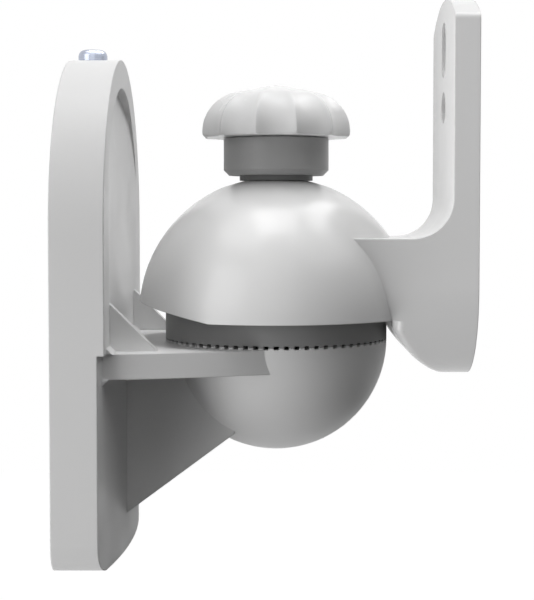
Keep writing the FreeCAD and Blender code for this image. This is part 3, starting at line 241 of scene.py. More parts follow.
# %% An empty group
def new_group(name, inputs, outputs):
    """An empty shader group with typed sockets: (name, kind, default) and (name, kind)."""
    group = bpy.data.node_groups.new(name, "ShaderNodeTree")
    for label, kind, default in inputs:
        socket = group.interface.new_socket(
            label, in_out="INPUT", socket_type="NodeSocket" + kind)
        socket.default_value = default
    for label, kind in outputs:
        group.interface.new_socket(label, in_out="OUTPUT", socket_type="NodeSocket" + kind)
    source = group.nodes.new("NodeGroupInput")
    target = group.nodes.new("NodeGroupOutput")
    return group, source, target


print("helper:", new_group.__name__)


# %% The group for edges
def build_broken_edges():
    """The normal of a surface whose edges have a small radius."""
    group, source, target = new_group(
        "broken_edges", [("Radius", "Float", 0.0004)], [("Normal", "Vector")])
    bevel = add_node(group.nodes, "ShaderNodeBevel", "small radius", samples=6)
    group.links.new(source.outputs["Radius"], bevel.inputs["Radius"])
    group.links.new(bevel.outputs["Normal"], target.inputs["Normal"])
    return group


broken_edges = build_broken_edges()
print("group:", broken_edges.name)

# %% [markdown]
# ## What moulded plastic looks like close up
#
# Plastic from a mould is never one flat tone. The white is a touch warmer or greyer in broad
# patches, the tool's polish wears unevenly, and spark erosion leaves a fine grain. A picture
# texture would need to be wrapped round every moulding. Three noises on Object coordinates
# give the same at any size, so they make a group with the mottle as colour, the polish as
# roughness and the grain as height.

# %% The group for plastic
POLISH_SIZE = 140.0
# A noise stays mostly between these values, so they are stretched over the whole roughness.
NOISE_LOW = 0.3
NOISE_HIGH = 0.7
# A Mix node keeps its colours in these sockets, after those for numbers and vectors.
MIX_FIRST = 6
MIX_SECOND = 7
MIX_RESULT = 2
SKIN_OUTPUTS = [("Color", "Color"), ("Roughness", "Float"), ("Height", "Float")]


def build_moulded_skin():
    """Colour, roughness and height of satin moulded plastic."""
    group, source, target = new_group(
        "moulded_skin",
        [("Plastic", "Color", (0.8, 0.8, 0.8, 1)), ("Cloud", "Color", (0.76, 0.76, 0.75, 1)),
         ("Cloud size", "Float", 40.0), ("Grain size", "Float", 2600.0),
         ("Smooth", "Float", 0.32), ("Rough", "Float", 0.44)], SKIN_OUTPUTS)
    nodes, links = group.nodes, group.links
    place = add_node(nodes, "ShaderNodeTexCoord", "place on the piece")
    cloud = add_node(nodes, "ShaderNodeTexNoise", "mottle", Detail=3.0, Roughness=0.6)
    tone = add_node(nodes, "ShaderNodeMix", "white or mottle", data_type="RGBA")
    grain = add_node(nodes, "ShaderNodeTexNoise", "spark grain", Detail=2.0, Roughness=0.5)
    flow = add_node(nodes, "ShaderNodeTexNoise", "polish", Detail=2.0, Scale=POLISH_SIZE)
    satin = add_node(nodes, "ShaderNodeMapRange", "roughness range", From_Min=NOISE_LOW,
                     From_Max=NOISE_HIGH)
    for noise in (cloud, grain, flow):
        links.new(place.outputs["Object"], noise.inputs["Vector"])
    links.new(source.outputs["Cloud size"], cloud.inputs["Scale"])
    links.new(source.outputs["Grain size"], grain.inputs["Scale"])
    links.new(cloud.outputs["Fac"], tone.inputs["Factor"])
    links.new(source.outputs["Plastic"], tone.inputs[MIX_FIRST])
    links.new(source.outputs["Cloud"], tone.inputs[MIX_SECOND])
    links.new(flow.outputs["Fac"], satin.inputs["Value"])
    links.new(source.outputs["Smooth"], satin.inputs["To Min"])
    links.new(source.outputs["Rough"], satin.inputs["To Max"])
    links.new(tone.outputs[MIX_RESULT], target.inputs["Color"])
    links.new(satin.outputs["Result"], target.inputs["Roughness"])
    links.new(grain.outputs["Fac"], target.inputs["Height"])
    return group


moulded_skin = build_moulded_skin()
print("group:", moulded_skin.name)

# %% [markdown]
# ## What turned and drawn steel looks like
#
# Screws, nuts and wire carry fine lines round their axis, under a thin plating that is a
# little stained. Such lines are far too fine to model. A noise that is squeezed along the
# axis and drawn out across it gives them, and they steer roughness and height together.

# %% The group for metal
STAIN_SIZE = 220.0
SQUEEZE = (0.15, 0.15, 6.0)


def build_turned_metal():
    """Colour, roughness and height of plated or drawn steel, with fine tool lines."""
    group, source, target = new_group(
        "turned_metal",
        [("Metal", "Color", (0.7, 0.7, 0.7, 1)), ("Stain", "Color", (0.5, 0.5, 0.5, 1)),
         ("Line size", "Float", 900.0), ("Smooth", "Float", 0.15), ("Rough", "Float", 0.35)],
        SKIN_OUTPUTS)
    nodes, links = group.nodes, group.links
    place = add_node(nodes, "ShaderNodeTexCoord", "place on the piece")
    squeezed = add_node(nodes, "ShaderNodeMapping", "rings round the axis", Scale=SQUEEZE)
    lines = add_node(nodes, "ShaderNodeTexNoise", "tool lines", Detail=3.0)
    stain = add_node(nodes, "ShaderNodeTexNoise", "plating", Detail=4.0, Scale=STAIN_SIZE)
    tone = add_node(nodes, "ShaderNodeMix", "metal or stain", data_type="RGBA")
    shine = add_node(nodes, "ShaderNodeMapRange", "roughness range", From_Min=NOISE_LOW,
                     From_Max=NOISE_HIGH)
    links.new(place.outputs["Object"], squeezed.inputs["Vector"])
    links.new(squeezed.outputs["Vector"], lines.inputs["Vector"])
    links.new(source.outputs["Line size"], lines.inputs["Scale"])
    links.new(place.outputs["Object"], stain.inputs["Vector"])
    links.new(stain.outputs["Fac"], tone.inputs["Factor"])
    links.new(source.outputs["Metal"], tone.inputs[MIX_FIRST])
    links.new(source.outputs["Stain"], tone.inputs[MIX_SECOND])
    links.new(lines.outputs["Fac"], shine.inputs["Value"])
    links.new(source.outputs["Smooth"], shine.inputs["To Min"])
    links.new(source.outputs["Rough"], shine.inputs["To Max"])
    links.new(tone.outputs[MIX_RESULT], target.inputs["Color"])
    links.new(shine.outputs["Result"], target.inputs["Roughness"])
    links.new(lines.outputs["Fac"], target.inputs["Height"])
    return group


turned_metal = build_turned_metal()
print("group:", turned_metal.name)

# %% [markdown]
# ## Finishes
#
# Each finish places the groups with its own values and keeps the Principled shader in the
# material itself. Grain enters as a Bump node whose distance is in metres, here between
# three and twelve thousandths of a millimetre. Its normal input takes the broken edges, so
# both are seen. Housing, drum, collar and knob mirror less than the shader's usual half,
# because the white backdrop stands all round them and its mirror image would wash out their
# shade. The arm is polished, so it mirrors more, and its dome shows soft images of the
# collar and the lamps.


# %% One finish
def finish(name, group, values, grain_depth, edge_radius, metallic=0.0, mirror=0.5):
    """A material made of one skin group, the broken edges and a Principled shader.

    The grain's depth and the radius of the edges are in metres. The mirror value is the
    shader's specular level.
    """
    material = bpy.data.materials.new(name)
    material.use_nodes = True
    nodes, links = material.node_tree.nodes, material.node_tree.links
    shader = nodes["Principled BSDF"]
    shader.inputs["Metallic"].default_value = metallic
    shader.inputs["IOR"].default_value = 1.5
    shader.inputs["Specular IOR Level"].default_value = mirror
    surface = add_node(nodes, "ShaderNodeGroup", "skin", node_tree=group)
    for label, value in values.items():
        surface.inputs[label].default_value = value
    edges = add_node(nodes, "ShaderNodeGroup", "edges", node_tree=broken_edges)
    edges.inputs["Radius"].default_value = edge_radius
    bump = add_node(nodes, "ShaderNodeBump", "grain", Distance=grain_depth, Strength=0.6)
    links.new(surface.outputs["Color"], shader.inputs["Base Color"])
    links.new(surface.outputs["Roughness"], shader.inputs["Roughness"])
    links.new(surface.outputs["Height"], bump.inputs["Height"])
    links.new(edges.outputs["Normal"], bump.inputs["Normal"])
    links.new(bump.outputs["Normal"], shader.inputs["Normal"])
    return material


def grey(level, warmth=0.0):
    """A grey colour that leans to red by its warmth."""
    return (level + warmth, level, level - warmth, 1)


print("grey 0.5 is", grey(0.5))

# %% Plastics
housing_white = finish(
    "housing_white", moulded_skin,
    {"Plastic": grey(0.80), "Cloud": grey(0.775, 0.002), "Smooth": 0.36, "Rough": 0.48},
    0.006 * MM, 0.40 * MM, mirror=0.2)
arm_white = finish(
    "arm_white", moulded_skin,
    {"Plastic": grey(0.80), "Cloud": grey(0.78, 0.002), "Smooth": 0.22, "Rough": 0.25},
    0.003 * MM, 0.35 * MM, mirror=0.6)
# Painted shade: a dark grey for the drum and the neck, which lie in shade under the dome.
core_painted_shade = finish(
    "core_painted_shade", moulded_skin,
    {"Plastic": grey(0.28), "Cloud": grey(0.26), "Smooth": 0.36, "Rough": 0.50},
    0.010 * MM, 0.12 * MM, mirror=0.25)
# Painted shade: a mid grey for the collar, which lies in shade under the knob.
collar_painted_shade = finish(
    "collar_painted_shade", moulded_skin,
    {"Plastic": grey(0.42), "Cloud": grey(0.395), "Smooth": 0.36, "Rough": 0.50},
    0.008 * MM, 0.15 * MM, mirror=0.25)
# The knob's white is a touch lighter than the housing's white. The difference is painted light.
knob_white = finish(
    "knob_white", moulded_skin,
    {"Plastic": grey(0.83), "Cloud": grey(0.81), "Smooth": 0.22, "Rough": 0.28},
    0.003 * MM, 0.20 * MM, mirror=0.28)
inner_white = finish(
    "inner_white", moulded_skin,
    {"Plastic": grey(0.74), "Cloud": grey(0.70), "Smooth": 0.45, "Rough": 0.60},
    0.012 * MM, 0.25 * MM)
print("plastics:", housing_white.name, arm_white.name, core_painted_shade.name, collar_painted_shade.name,
      knob_white.name, inner_white.name)

# %% Metals
plated_steel = finish(
    "plated_steel", turned_metal,
    {"Metal": (0.50, 0.53, 0.62, 1), "Stain": (0.36, 0.40, 0.49, 1),
     "Smooth": 0.16, "Rough": 0.30}, 0.004 * MM, 0.08 * MM, metallic=1.0)
zinc_steel = finish(
    "zinc_steel", turned_metal,
    {"Metal": (0.62, 0.63, 0.65, 1), "Stain": (0.50, 0.52, 0.56, 1),
     "Smooth": 0.25, "Rough": 0.42}, 0.006 * MM, 0.12 * MM, metallic=1.0)
spring_steel = finish(
    "spring_steel", turned_metal,
    {"Metal": (0.42, 0.42, 0.44, 1), "Stain": (0.34, 0.34, 0.36, 1),
     "Smooth": 0.28, "Rough": 0.42}, 0.004 * MM, 0.05 * MM, metallic=1.0)
print("metals:", plated_steel.name, zinc_steel.name, spring_steel.name)

# %% [markdown]
# ## What repeats round an axis
#
# The knob is six times the same sector, and the retainer's screws stand three times round
# the bolt. An array of copies by hand would be edited copy by copy. A Geometry Nodes group
# turns one sector into the whole ring instead, welds the seams, and sets it in its place.


# %% An empty geometry group
def new_shape_group(name, inputs):
    """An empty geometry group with typed inputs and one geometry output."""
    group = bpy.data.node_groups.new(name, "GeometryNodeTree")
    for label, kind, default in inputs:
        socket = group.interface.new_socket(
            label, in_out="INPUT", socket_type="NodeSocket" + kind)
        if default is not None:
            socket.default_value = default
    group.interface.new_socket("Geometry", in_out="OUTPUT", socket_type="NodeSocketGeometry")
    source = group.nodes.new("NodeGroupInput")
    target = group.nodes.new("NodeGroupOutput")
    return group, source, target


print("helper:", new_shape_group.__name__)

# %% A ring of sectors
SEAM_WELD = 0.002


def build_ring_of_sectors():
    """Copies of a sector round the vertical axis, welded into one skin and set in its place."""
    group, source, target = new_shape_group("ring_of_sectors", [
        ("Sector", "Geometry", None), ("Count", "Int", 6), ("Place", "Vector", (0, 0, 0)),
        ("Finish", "Material", None)])
    nodes, links = group.nodes, group.links
    starts = add_node(nodes, "GeometryNodePoints", "one point a sector")
    number = add_node(nodes, "GeometryNodeInputIndex", "number")
    share = add_node(nodes, "ShaderNodeMath", "full turn by count", operation="DIVIDE")
    share.inputs[0].default_value = 2 * math.pi
    angle = add_node(nodes, "ShaderNodeMath", "angle", operation="MULTIPLY")
    spin = add_node(nodes, "ShaderNodeCombineXYZ", "about the axis")
    copies = add_node(nodes, "GeometryNodeInstanceOnPoints", "copies")
    real = add_node(nodes, "GeometryNodeRealizeInstances", "realize")
    weld = add_node(nodes, "GeometryNodeMergeByDistance", "weld the seams")
    weld.inputs["Distance"].default_value = SEAM_WELD * MM
    shift = add_node(nodes, "GeometryNodeTransform", "set in place")
    coat = add_node(nodes, "GeometryNodeSetMaterial", "finish")
    links.new(source.outputs["Count"], starts.inputs["Count"])
    links.new(source.outputs["Count"], share.inputs[1])
    links.new(number.outputs[0], angle.inputs[0])
    links.new(share.outputs[0], angle.inputs[1])
    links.new(angle.outputs[0], spin.inputs["Z"])
    links.new(starts.outputs[0], copies.inputs["Points"])
    links.new(source.outputs["Sector"], copies.inputs["Instance"])
    links.new(spin.outputs[0], copies.inputs["Rotation"])
    links.new(copies.outputs[0], real.inputs[0])
    links.new(real.outputs[0], weld.inputs["Geometry"])
    links.new(weld.outputs[0], shift.inputs["Geometry"])
    links.new(source.outputs["Place"], shift.inputs["Translation"])
    links.new(shift.outputs[0], coat.inputs["Geometry"])
    links.new(source.outputs["Finish"], coat.inputs["Material"])
    links.new(coat.outputs[0], target.inputs[0])
    return group


ring_of_sectors = build_ring_of_sectors()
print("group:", ring_of_sectors.name)

# %% [markdown]
# ## What winds along an axis
#
# A thread is a ridge that climbs round a shank. A bump pattern would leave the outline
# straight, so the ridge is real: a second Geometry Nodes group sweeps a small section along
# a helix. The section keeps upright with the curve's normal set to Z up, and its foot lies
# a little inside the shank, so that no gap shows. The sizes of the section are shares of the
# thread's pitch and depth.

# %% A thread
HELIX_STEPS = 28
RIDGE_HALF_FOOT = 0.46
RIDGE_HALF_CREST = 0.10
RIDGE_SUNK = 0.25


def times(nodes, label, factor):
    """A Math node that multiplies its first input by a factor."""
    node = add_node(nodes, "ShaderNodeMath", label, operation="MULTIPLY")
    node.inputs[1].default_value = factor
    return node


def ridge_section(nodes, links, source):
    """The four corners of a ridge from the group's pitch and depth.

    The section's X axis points at the helix's axis, so out of the shank is negative.
    """
    foot = times(nodes, "half a ridge", RIDGE_HALF_FOOT)
    crest = times(nodes, "half its flat crest", RIDGE_HALF_CREST)
    sunk = times(nodes, "into the shank", RIDGE_SUNK)
    proud = times(nodes, "out of the shank", -1.0)
    section = add_node(nodes, "GeometryNodeCurvePrimitiveQuadrilateral", "ridge section",
                       mode="POINTS")
    for width in (foot, crest):
        links.new(source.outputs["Pitch"], width.inputs[0])
    for depth in (sunk, proud):
        links.new(source.outputs["Depth"], depth.inputs[0])
    outline = ((foot, sunk, 1), (crest, proud, 1), (crest, proud, -1), (foot, sunk, -1))
    for number, (width, depth, sign) in enumerate(outline, 1):
        corner = add_node(nodes, "ShaderNodeCombineXYZ", "corner")
        side = times(nodes, "side", sign)
        links.new(width.outputs[0], side.inputs[0])
        links.new(side.outputs[0], corner.inputs["Y"])
        links.new(depth.outputs[0], corner.inputs["X"])
        links.new(corner.outputs[0], section.inputs["Point %d" % number])
    return section


def build_thread():
    """A thread's ridge wound round a shank, joined to the piece that it is made on."""
    group, source, target = new_shape_group("thread", [
        ("Piece", "Geometry", None), ("Root", "Float", 0.001), ("Depth", "Float", 0.0002),
        ("Pitch", "Float", 0.0005), ("Length", "Float", 0.01), ("Place", "Vector", (0, 0, 0)),
        ("Finish", "Material", None)])
    nodes, links = group.nodes, group.links
    turns = add_node(nodes, "ShaderNodeMath", "number of turns", operation="DIVIDE")
    helix = add_node(nodes, "GeometryNodeCurveSpiral", "helix", Resolution=HELIX_STEPS)
    upright = add_node(nodes, "GeometryNodeSetCurveNormal", "ridge stays upright", mode="Z_UP")
    wound = add_node(nodes, "GeometryNodeCurveToMesh", "wind")
    wound.inputs["Fill Caps"].default_value = True
    shift = add_node(nodes, "GeometryNodeTransform", "set in place")
    join = add_node(nodes, "GeometryNodeJoinGeometry", "piece and thread")
    coat = add_node(nodes, "GeometryNodeSetMaterial", "finish")
    links.new(source.outputs["Length"], turns.inputs[0])
    links.new(source.outputs["Pitch"], turns.inputs[1])
    links.new(turns.outputs[0], helix.inputs["Rotations"])
    links.new(source.outputs["Root"], helix.inputs["Start Radius"])
    links.new(source.outputs["Root"], helix.inputs["End Radius"])
    links.new(source.outputs["Length"], helix.inputs["Height"])
    links.new(helix.outputs[0], upright.inputs[0])
    links.new(upright.outputs[0], wound.inputs["Curve"])
    links.new(ridge_section(nodes, links, source).outputs[0], wound.inputs["Profile Curve"])
    links.new(wound.outputs[0], shift.inputs["Geometry"])
    links.new(source.outputs["Place"], shift.inputs["Translation"])
    links.new(source.outputs["Piece"], join.inputs[0])
    links.new(shift.outputs[0], join.inputs[0])
    links.new(join.outputs[0], coat.inputs["Geometry"])
    links.new(source.outputs["Finish"], coat.inputs["Material"])
    links.new(coat.outputs[0], target.inputs[0])
    return group


thread = build_thread()
print("group:", thread.name)

# %% [markdown]
# ## From rows of points to a piece
#
# Both the knob and the fasteners start as rows of points, one above the other, which is
# simpler than modelling them with tools. The rows are joined by faces, welded at the poles
# and turned outwards. A geometry group then makes the whole shape, and the result
# becomes a plain mesh, so that nothing depends on the modifier.

# %% Plain meshes
POLE_WELD = 0.0005
SMOOTH_BELOW = 32


def closed_up(mesh):
    """The mesh, welded where its points meet, with its faces turned outwards."""
    work = bmesh.new()
    work.from_mesh(mesh)
    bmesh.ops.remove_doubles(work, verts=work.verts, dist=POLE_WELD * MM)
    bmesh.ops.recalc_face_normals(work, faces=work.faces)
    work.to_mesh(mesh)
    work.free()
    return mesh


def skin(name, points):
    """A mesh in metres from rows of points in millimetres."""
    count, wide = points.shape[:2]
    faces = []
    for row in range(count - 1):
        for column in range(wide - 1):
            corner = row * wide + column
            faces.append((corner, corner + wide, corner + wide + 1, corner + 1))
    mesh = bpy.data.meshes.new(name)
    mesh.from_pydata((points.reshape(-1, 3) * MM).tolist(), [], faces)
    return closed_up(mesh)


def shaped(name, mesh, group, values):
    """A plain mesh: one that went through a geometry group with its inputs set by name."""
    mesh.materials.append(values["Finish"])
    raw = bpy.data.objects.new(name + "_raw", mesh)
    bpy.context.scene.collection.objects.link(raw)
    modifier = raw.modifiers.new("shape", "NODES")
    modifier.node_group = group
    for item in group.interface.items_tree:
        if item.in_out == "INPUT" and item.name in values:
            modifier[item.identifier] = values[item.name]
    raw.update_tag()
    evaluated = raw.evaluated_get(bpy.context.evaluated_depsgraph_get())
    plain = bpy.data.meshes.new_from_object(evaluated)
    plain.name = name
    plain.materials.clear()
    plain.materials.append(values["Finish"])
    bpy.data.objects.remove(raw)
    return plain


def as_piece(name, mesh, body, slot, *stands_for):
    """Shows a mesh as a piece that rides on a body and stands for some solids."""
    for polygon in mesh.polygons:
        polygon.use_smooth = True
    mesh.set_sharp_from_angle(angle=math.radians(SMOOTH_BELOW))
    piece = bpy.data.objects.new(name, mesh)
    bpy.context.scene.collection.objects.link(piece)
    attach(piece, body)
    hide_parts(*stands_for)
    print(name, len(mesh.vertices), "points")


print("faces that meet at less than", SMOOTH_BELOW, "degrees are smoothed together")

# %% [markdown]
# ## The fluted knob
#
# The knob is a gently domed top, a round shoulder and a small lip, cut by twelve flutes
# whose bottoms climb the shoulder and run out on the top. Where a flute meets the skin
# there is a soft ridge, not a corner, which a boolean cut can't give. So the skin is the
# place where a smooth minimum of two depths is nought: the depth inside the turned outline
# and the depth outside the flutes. All sizes of the knob are in millimetres from its foot.

# %% The knob's turned outline
LIP_RADIUS, LIP_HEIGHT, LIP_INSET = 15.9, 1.1, 1.0
SHOULDER_RADIUS = 9.0
SHOULDER_CENTRE = LIP_RADIUS - SHOULDER_RADIUS
TOP_RADIUS, TOP_CENTRE = 36.0, -25.0
# The depth that a part of the outline gives where it doesn't count.
NOT_HERE = 99.0


def outline_depth(radius, height):
    """How deep a point lies inside the turned outline."""
    top = TOP_RADIUS - np.hypot(radius, height - TOP_CENTRE)
    bend = SHOULDER_RADIUS - np.hypot(radius - SHOULDER_CENTRE, height - LIP_HEIGHT)
    shoulder = np.where((radius > SHOULDER_CENTRE) & (height > LIP_HEIGHT), bend, NOT_HERE)
    inner = LIP_RADIUS - LIP_INSET
    curl = LIP_INSET - np.hypot(radius - inner, (height - LIP_HEIGHT) * LIP_INSET / LIP_HEIGHT)
    lip = np.where((radius > inner) & (height <= LIP_HEIGHT), curl, NOT_HERE)
    return np.minimum(np.minimum(top, height), np.minimum(shoulder, lip))


print("knob radius", LIP_RADIUS, "height", TOP_RADIUS + TOP_CENTRE)

# %% The knob's flutes
FLUTE_RADIUS, FLUTE_START = 8.0, 22.2
FLUTE_BEND, FLUTE_RISE = 16.4, math.radians(75)
FLUTE_STEP = 30
RIDGE_BLEND = 0.15


def flute_clearance(across, aside, height):
    """Distance of a point from the skin of a flute that faces along the first direction.

    The flute's centre line climbs straight up, bends inwards over the shoulder and ends in a
    straight run over the top.
    """
    out = across - (FLUTE_START - FLUTE_BEND)
    up = height - LIP_HEIGHT
    turned_by = np.arctan2(up, out)
    bent = np.hypot(out, up) - FLUTE_BEND
    straight = out * math.cos(FLUTE_RISE) + up * math.sin(FLUTE_RISE) - FLUTE_BEND
    climbing = np.where(turned_by < FLUTE_RISE, bent, straight)
    in_plane = np.where(up < 0, out - FLUTE_BEND, climbing)
    return np.hypot(in_plane, aside) - FLUTE_RADIUS


def knob_depth(points):
    """Smooth minimum of the depths inside the outline and outside the nearest flutes."""
    east, north, height = points[..., 0], points[..., 1], points[..., 2]
    total = np.exp(-outline_depth(np.hypot(east, north), height) / RIDGE_BLEND)
    # These five flutes reach a sector that runs from 0 to 60 degrees.
    for number in range(-1, 4):
        turn = math.radians(FLUTE_STEP * number)
        across = east * math.cos(turn) + north * math.sin(turn)
        aside = -east * math.sin(turn) + north * math.cos(turn)
        total += np.exp(-flute_clearance(across, aside, height) / RIDGE_BLEND)
    return -RIDGE_BLEND * np.log(total)


print("flutes:", 360 // FLUTE_STEP)

# %% [markdown]
# ## One sector and its pocket
#
# One sixth of a turn holds two flutes and one flat of the nut's pocket, so it is the sector
# that repeats. Rays from a point inside the knob run to a row of points on the turned
# outline, and each finds the skin by halving an interval again and again.

# %% One sector of the knob
SECTOR = 60
SECTOR_COLUMNS = 44
SHOULDER_TOP = 9.8
TOP_EDGE = 9.2
FOOT_OUTER, FOOT_INNER = 14.4, 6.6
TOP_ROWS, SHOULDER_ROWS, LIP_ROWS, FOOT_ROWS = 13, 34, 9, 12
EYE_HEIGHT = 4.0
SHORTEST, LONGEST, HALVINGS = 0.2, 1.02, 40
POCKET_FLAT, POCKET_DEPTH = 5.05, 5.2
POCKET_FLARE, FLARE_DEPTH, POCKET_END = 1.04, 0.25, 0.3
WELL_RADIUS, WELL_DEPTH = 3.15, 7.0


def outline_rows():
    """Radius and height of each row, from the middle of the top to the foot's inner rim."""
    rise = math.acos((SHOULDER_TOP - LIP_HEIGHT) / SHOULDER_RADIUS)
    top = [(r, TOP_CENTRE + math.sqrt(TOP_RADIUS ** 2 - r * r))
           for r in np.linspace(0, TOP_EDGE, TOP_ROWS)]
    bend = [(SHOULDER_CENTRE + SHOULDER_RADIUS * math.sin(a),
             LIP_HEIGHT + SHOULDER_RADIUS * math.cos(a))
            for a in np.linspace(rise, math.pi / 2, SHOULDER_ROWS)]
    curl = [(LIP_RADIUS - LIP_INSET + LIP_INSET * math.cos(a),
             LIP_HEIGHT - LIP_HEIGHT * math.sin(a))
            for a in np.linspace(0, math.pi / 2, LIP_ROWS)]
    foot = [(r, 0.0) for r in np.linspace(FOOT_OUTER, FOOT_INNER, FOOT_ROWS)]
    return np.array(top + bend[1:] + curl[1:] + foot)


def on_the_skin(goal):
    """The points where rays from inside the knob to the goals meet its skin."""
    eye = np.array([0, 0, EYE_HEIGHT])
    low = np.full(goal.shape[:2] + (1,), SHORTEST)
    high = np.full(goal.shape[:2] + (1,), LONGEST)
    for _ in range(HALVINGS):
        middle = (low + high) / 2
        inside = knob_depth(eye + (goal - eye) * middle)[..., None] > 0
        low, high = np.where(inside, middle, low), np.where(inside, high, middle)
    return eye + (goal - eye) * (low + high) / 2


def knob_sector():
    """One sixth of the knob as a mesh in metres, open along its two cut sides."""
    turns = np.radians(np.linspace(0, SECTOR, SECTOR_COLUMNS + 1))
    ring = np.stack([np.cos(turns), np.sin(turns), np.zeros_like(turns)], 1)
    up = np.array([0, 0, 1])
    rows = outline_rows()
    shell = on_the_skin(rows[:, None, :1] * ring + up * rows[:, None, 1:])
    shell[0] = (0, 0, rows[0, 1])
    flat = POCKET_FLAT / np.cos(turns - math.radians(SECTOR / 2))
    inner = [ring * (flat * POCKET_FLARE)[:, None]]
    for height in (FLARE_DEPTH, POCKET_DEPTH - POCKET_END, POCKET_DEPTH):
        inner.append(ring * flat[:, None] + up * height)
    for radius, height in ((WELL_RADIUS, POCKET_DEPTH), (WELL_RADIUS, WELL_DEPTH),
                           (0.0, WELL_DEPTH)):
        inner.append(ring * radius + up * height)
    return skin("knob_sector", np.concatenate([shell, np.array(inner)]))


sector = knob_sector()
print("one sector has", len(sector.vertices), "points")

# %% The whole knob
AXIS_X = 0.042
KNOB_FOOT = 33.6

knob_skin = shaped("fluted_knob", sector, ring_of_sectors, {
    "Count": 360 // SECTOR, "Place": (AXIS_X, 0, KNOB_FOOT * MM), "Finish": knob_white})
as_piece("fluted_knob", knob_skin, "knob", "knob_plastic", "knob_cap")

# %% [markdown]
# ## Screws with a cross recess
#
# The lock screw on top of the housing is the one that shows, and three more hold the bolt's
# retainer in the bowl. Their solids have plain shanks at the thread's outer size. Here each
# screw is turned from a half section down to the thread's root, and the ridge is wound onto
# it. The pan head has a flat top and a round brow. Its recess narrows downwards to a point,
# so a boolean cut with a tapered cross is the simplest way to it. All sizes are in
# millimetres.

# %% Turning and punching
RECESS_SPAN, RECESS_WIDTH, RECESS_DEPTH = 1.75, 0.48, 1.3
RECESS_FLARE, RECESS_TAPER = 1.12, 0.55
PUNCH_OVER, PUNCH_TIP = 0.3, 0.3


def turned(name, rows, columns=48):
    """A full turn of rows, each a radius (or one a column) and a height (or one a column)."""
    turns = np.linspace(0, 2 * math.pi, columns + 1)
    points = [np.stack([radius * np.cos(turns), radius * np.sin(turns),
                        height * np.ones_like(turns)], 1) for radius, height in rows]
    return skin(name, np.array(points))


def cross_punch(top):
    """The shape that a cross recess takes out of a head whose top lies at that height."""
    corner, span = RECESS_WIDTH, RECESS_SPAN
    outline = [(span, corner), (corner, corner), (corner, span), (-corner, span),
               (-corner, corner), (-span, corner), (-span, -corner), (-corner, -corner),
               (-corner, -span), (corner, -span), (corner, -corner), (span, -corner)]
    points = []
    for scale, height in ((RECESS_FLARE, top + PUNCH_OVER), (RECESS_TAPER, top - RECESS_DEPTH)):
        points += [(x * scale * MM, y * scale * MM, height * MM) for x, y in outline]
    points.append((0, 0, (top - RECESS_DEPTH - PUNCH_TIP) * MM))
    count = len(outline)
    faces = [tuple(range(count))]
    for number in range(count):
        after = (number + 1) % count
        faces.append((number, number + count, after + count, after))
        faces.append((number + count, 2 * count, after + count))
    mesh = bpy.data.meshes.new("cross_punch")
    mesh.from_pydata(points, [], faces)
    return closed_up(mesh)


def punched(mesh, punch):
    """The mesh without what the punch covers."""
    blank, tool = (bpy.data.objects.new(part.name, part) for part in (mesh, punch))
    for part in (blank, tool):
        bpy.context.scene.collection.objects.link(part)
    cut = blank.modifiers.new("recess", "BOOLEAN")
    cut.operation = "DIFFERENCE"
    cut.solver = "EXACT"
    cut.object = tool
    evaluated = blank.evaluated_get(bpy.context.evaluated_depsgraph_get())
    result = bpy.data.meshes.new_from_object(evaluated)
    for part in (blank, tool):
        bpy.data.objects.remove(part)
    result.materials.clear()
    return result


print("recess depth", RECESS_DEPTH)

# %% Pan-head screws
HEAD_RADIUS, HEAD_HEIGHT, HEAD_CHAMFER = 3.0, 2.4, 0.12
# Shares of the head's radius and height that the round brow takes.
BROW_ACROSS, BROW_UP = 0.38, 0.58
BROW_ROWS = 9
SHANK_RADIUS, SHANK_ROOT = 1.5, 1.2
SHANK_NECK = 0.35
POINT_INSET, POINT_LENGTH = 0.35, 0.5
# The thread starts this far from the point and is this much shorter than the shank.
THREAD_START, THREAD_SHORTER = 0.3, 0.9


def pan_screw(name, material, length, pitch, place):
    """Pan-head screw whose seat lies at a place, with its thread."""
    brow = [(HEAD_RADIUS * (1 - BROW_ACROSS + BROW_ACROSS * math.cos(a)),
             HEAD_HEIGHT * (1 - BROW_UP + BROW_UP * math.sin(a)))
            for a in np.linspace(0, math.pi / 2, BROW_ROWS)]
    rows = [(0, -length), (SHANK_ROOT - POINT_INSET, -length),
            (SHANK_ROOT, -length + POINT_LENGTH), (SHANK_ROOT, -SHANK_NECK),
            (SHANK_RADIUS, 0), (HEAD_RADIUS - HEAD_CHAMFER, 0), (HEAD_RADIUS, HEAD_CHAMFER)]
    blank = punched(turned(name, rows + brow + [(0, HEAD_HEIGHT)]), cross_punch(HEAD_HEIGHT))
    blank.transform(Matrix.Translation(Vector(place) * MM))
    return shaped(name, blank, thread, {
        "Root": SHANK_ROOT * MM, "Depth": (SHANK_RADIUS - SHANK_ROOT) * MM,
        "Pitch": pitch * MM, "Length": (length - THREAD_SHORTER) * MM,
        "Place": Vector((place[0], place[1], place[2] - length + THREAD_START)) * MM,
        "Finish": material})


print("pan head", 2 * HEAD_RADIUS, "across")

# %% The lock screw
LOCK_SCREW_X, LOCK_SCREW_SEAT, LOCK_SCREW_LENGTH, LOCK_SCREW_PITCH = 4.0, 49.3, 14.0, 0.5

lock_screw = pan_screw("lock_screw_threaded", plated_steel, LOCK_SCREW_LENGTH,
                       LOCK_SCREW_PITCH, (LOCK_SCREW_X, 0, LOCK_SCREW_SEAT))
as_piece("lock_screw_threaded", lock_screw, "bracket", "plated_steel", "lock_screw")

# %% The retainer's screws
RETAINER_SEAT, RETAINER_CIRCLE, RETAINER_LENGTH, RETAINER_PITCH = -14.5, 12.2, 8.0, 1.0

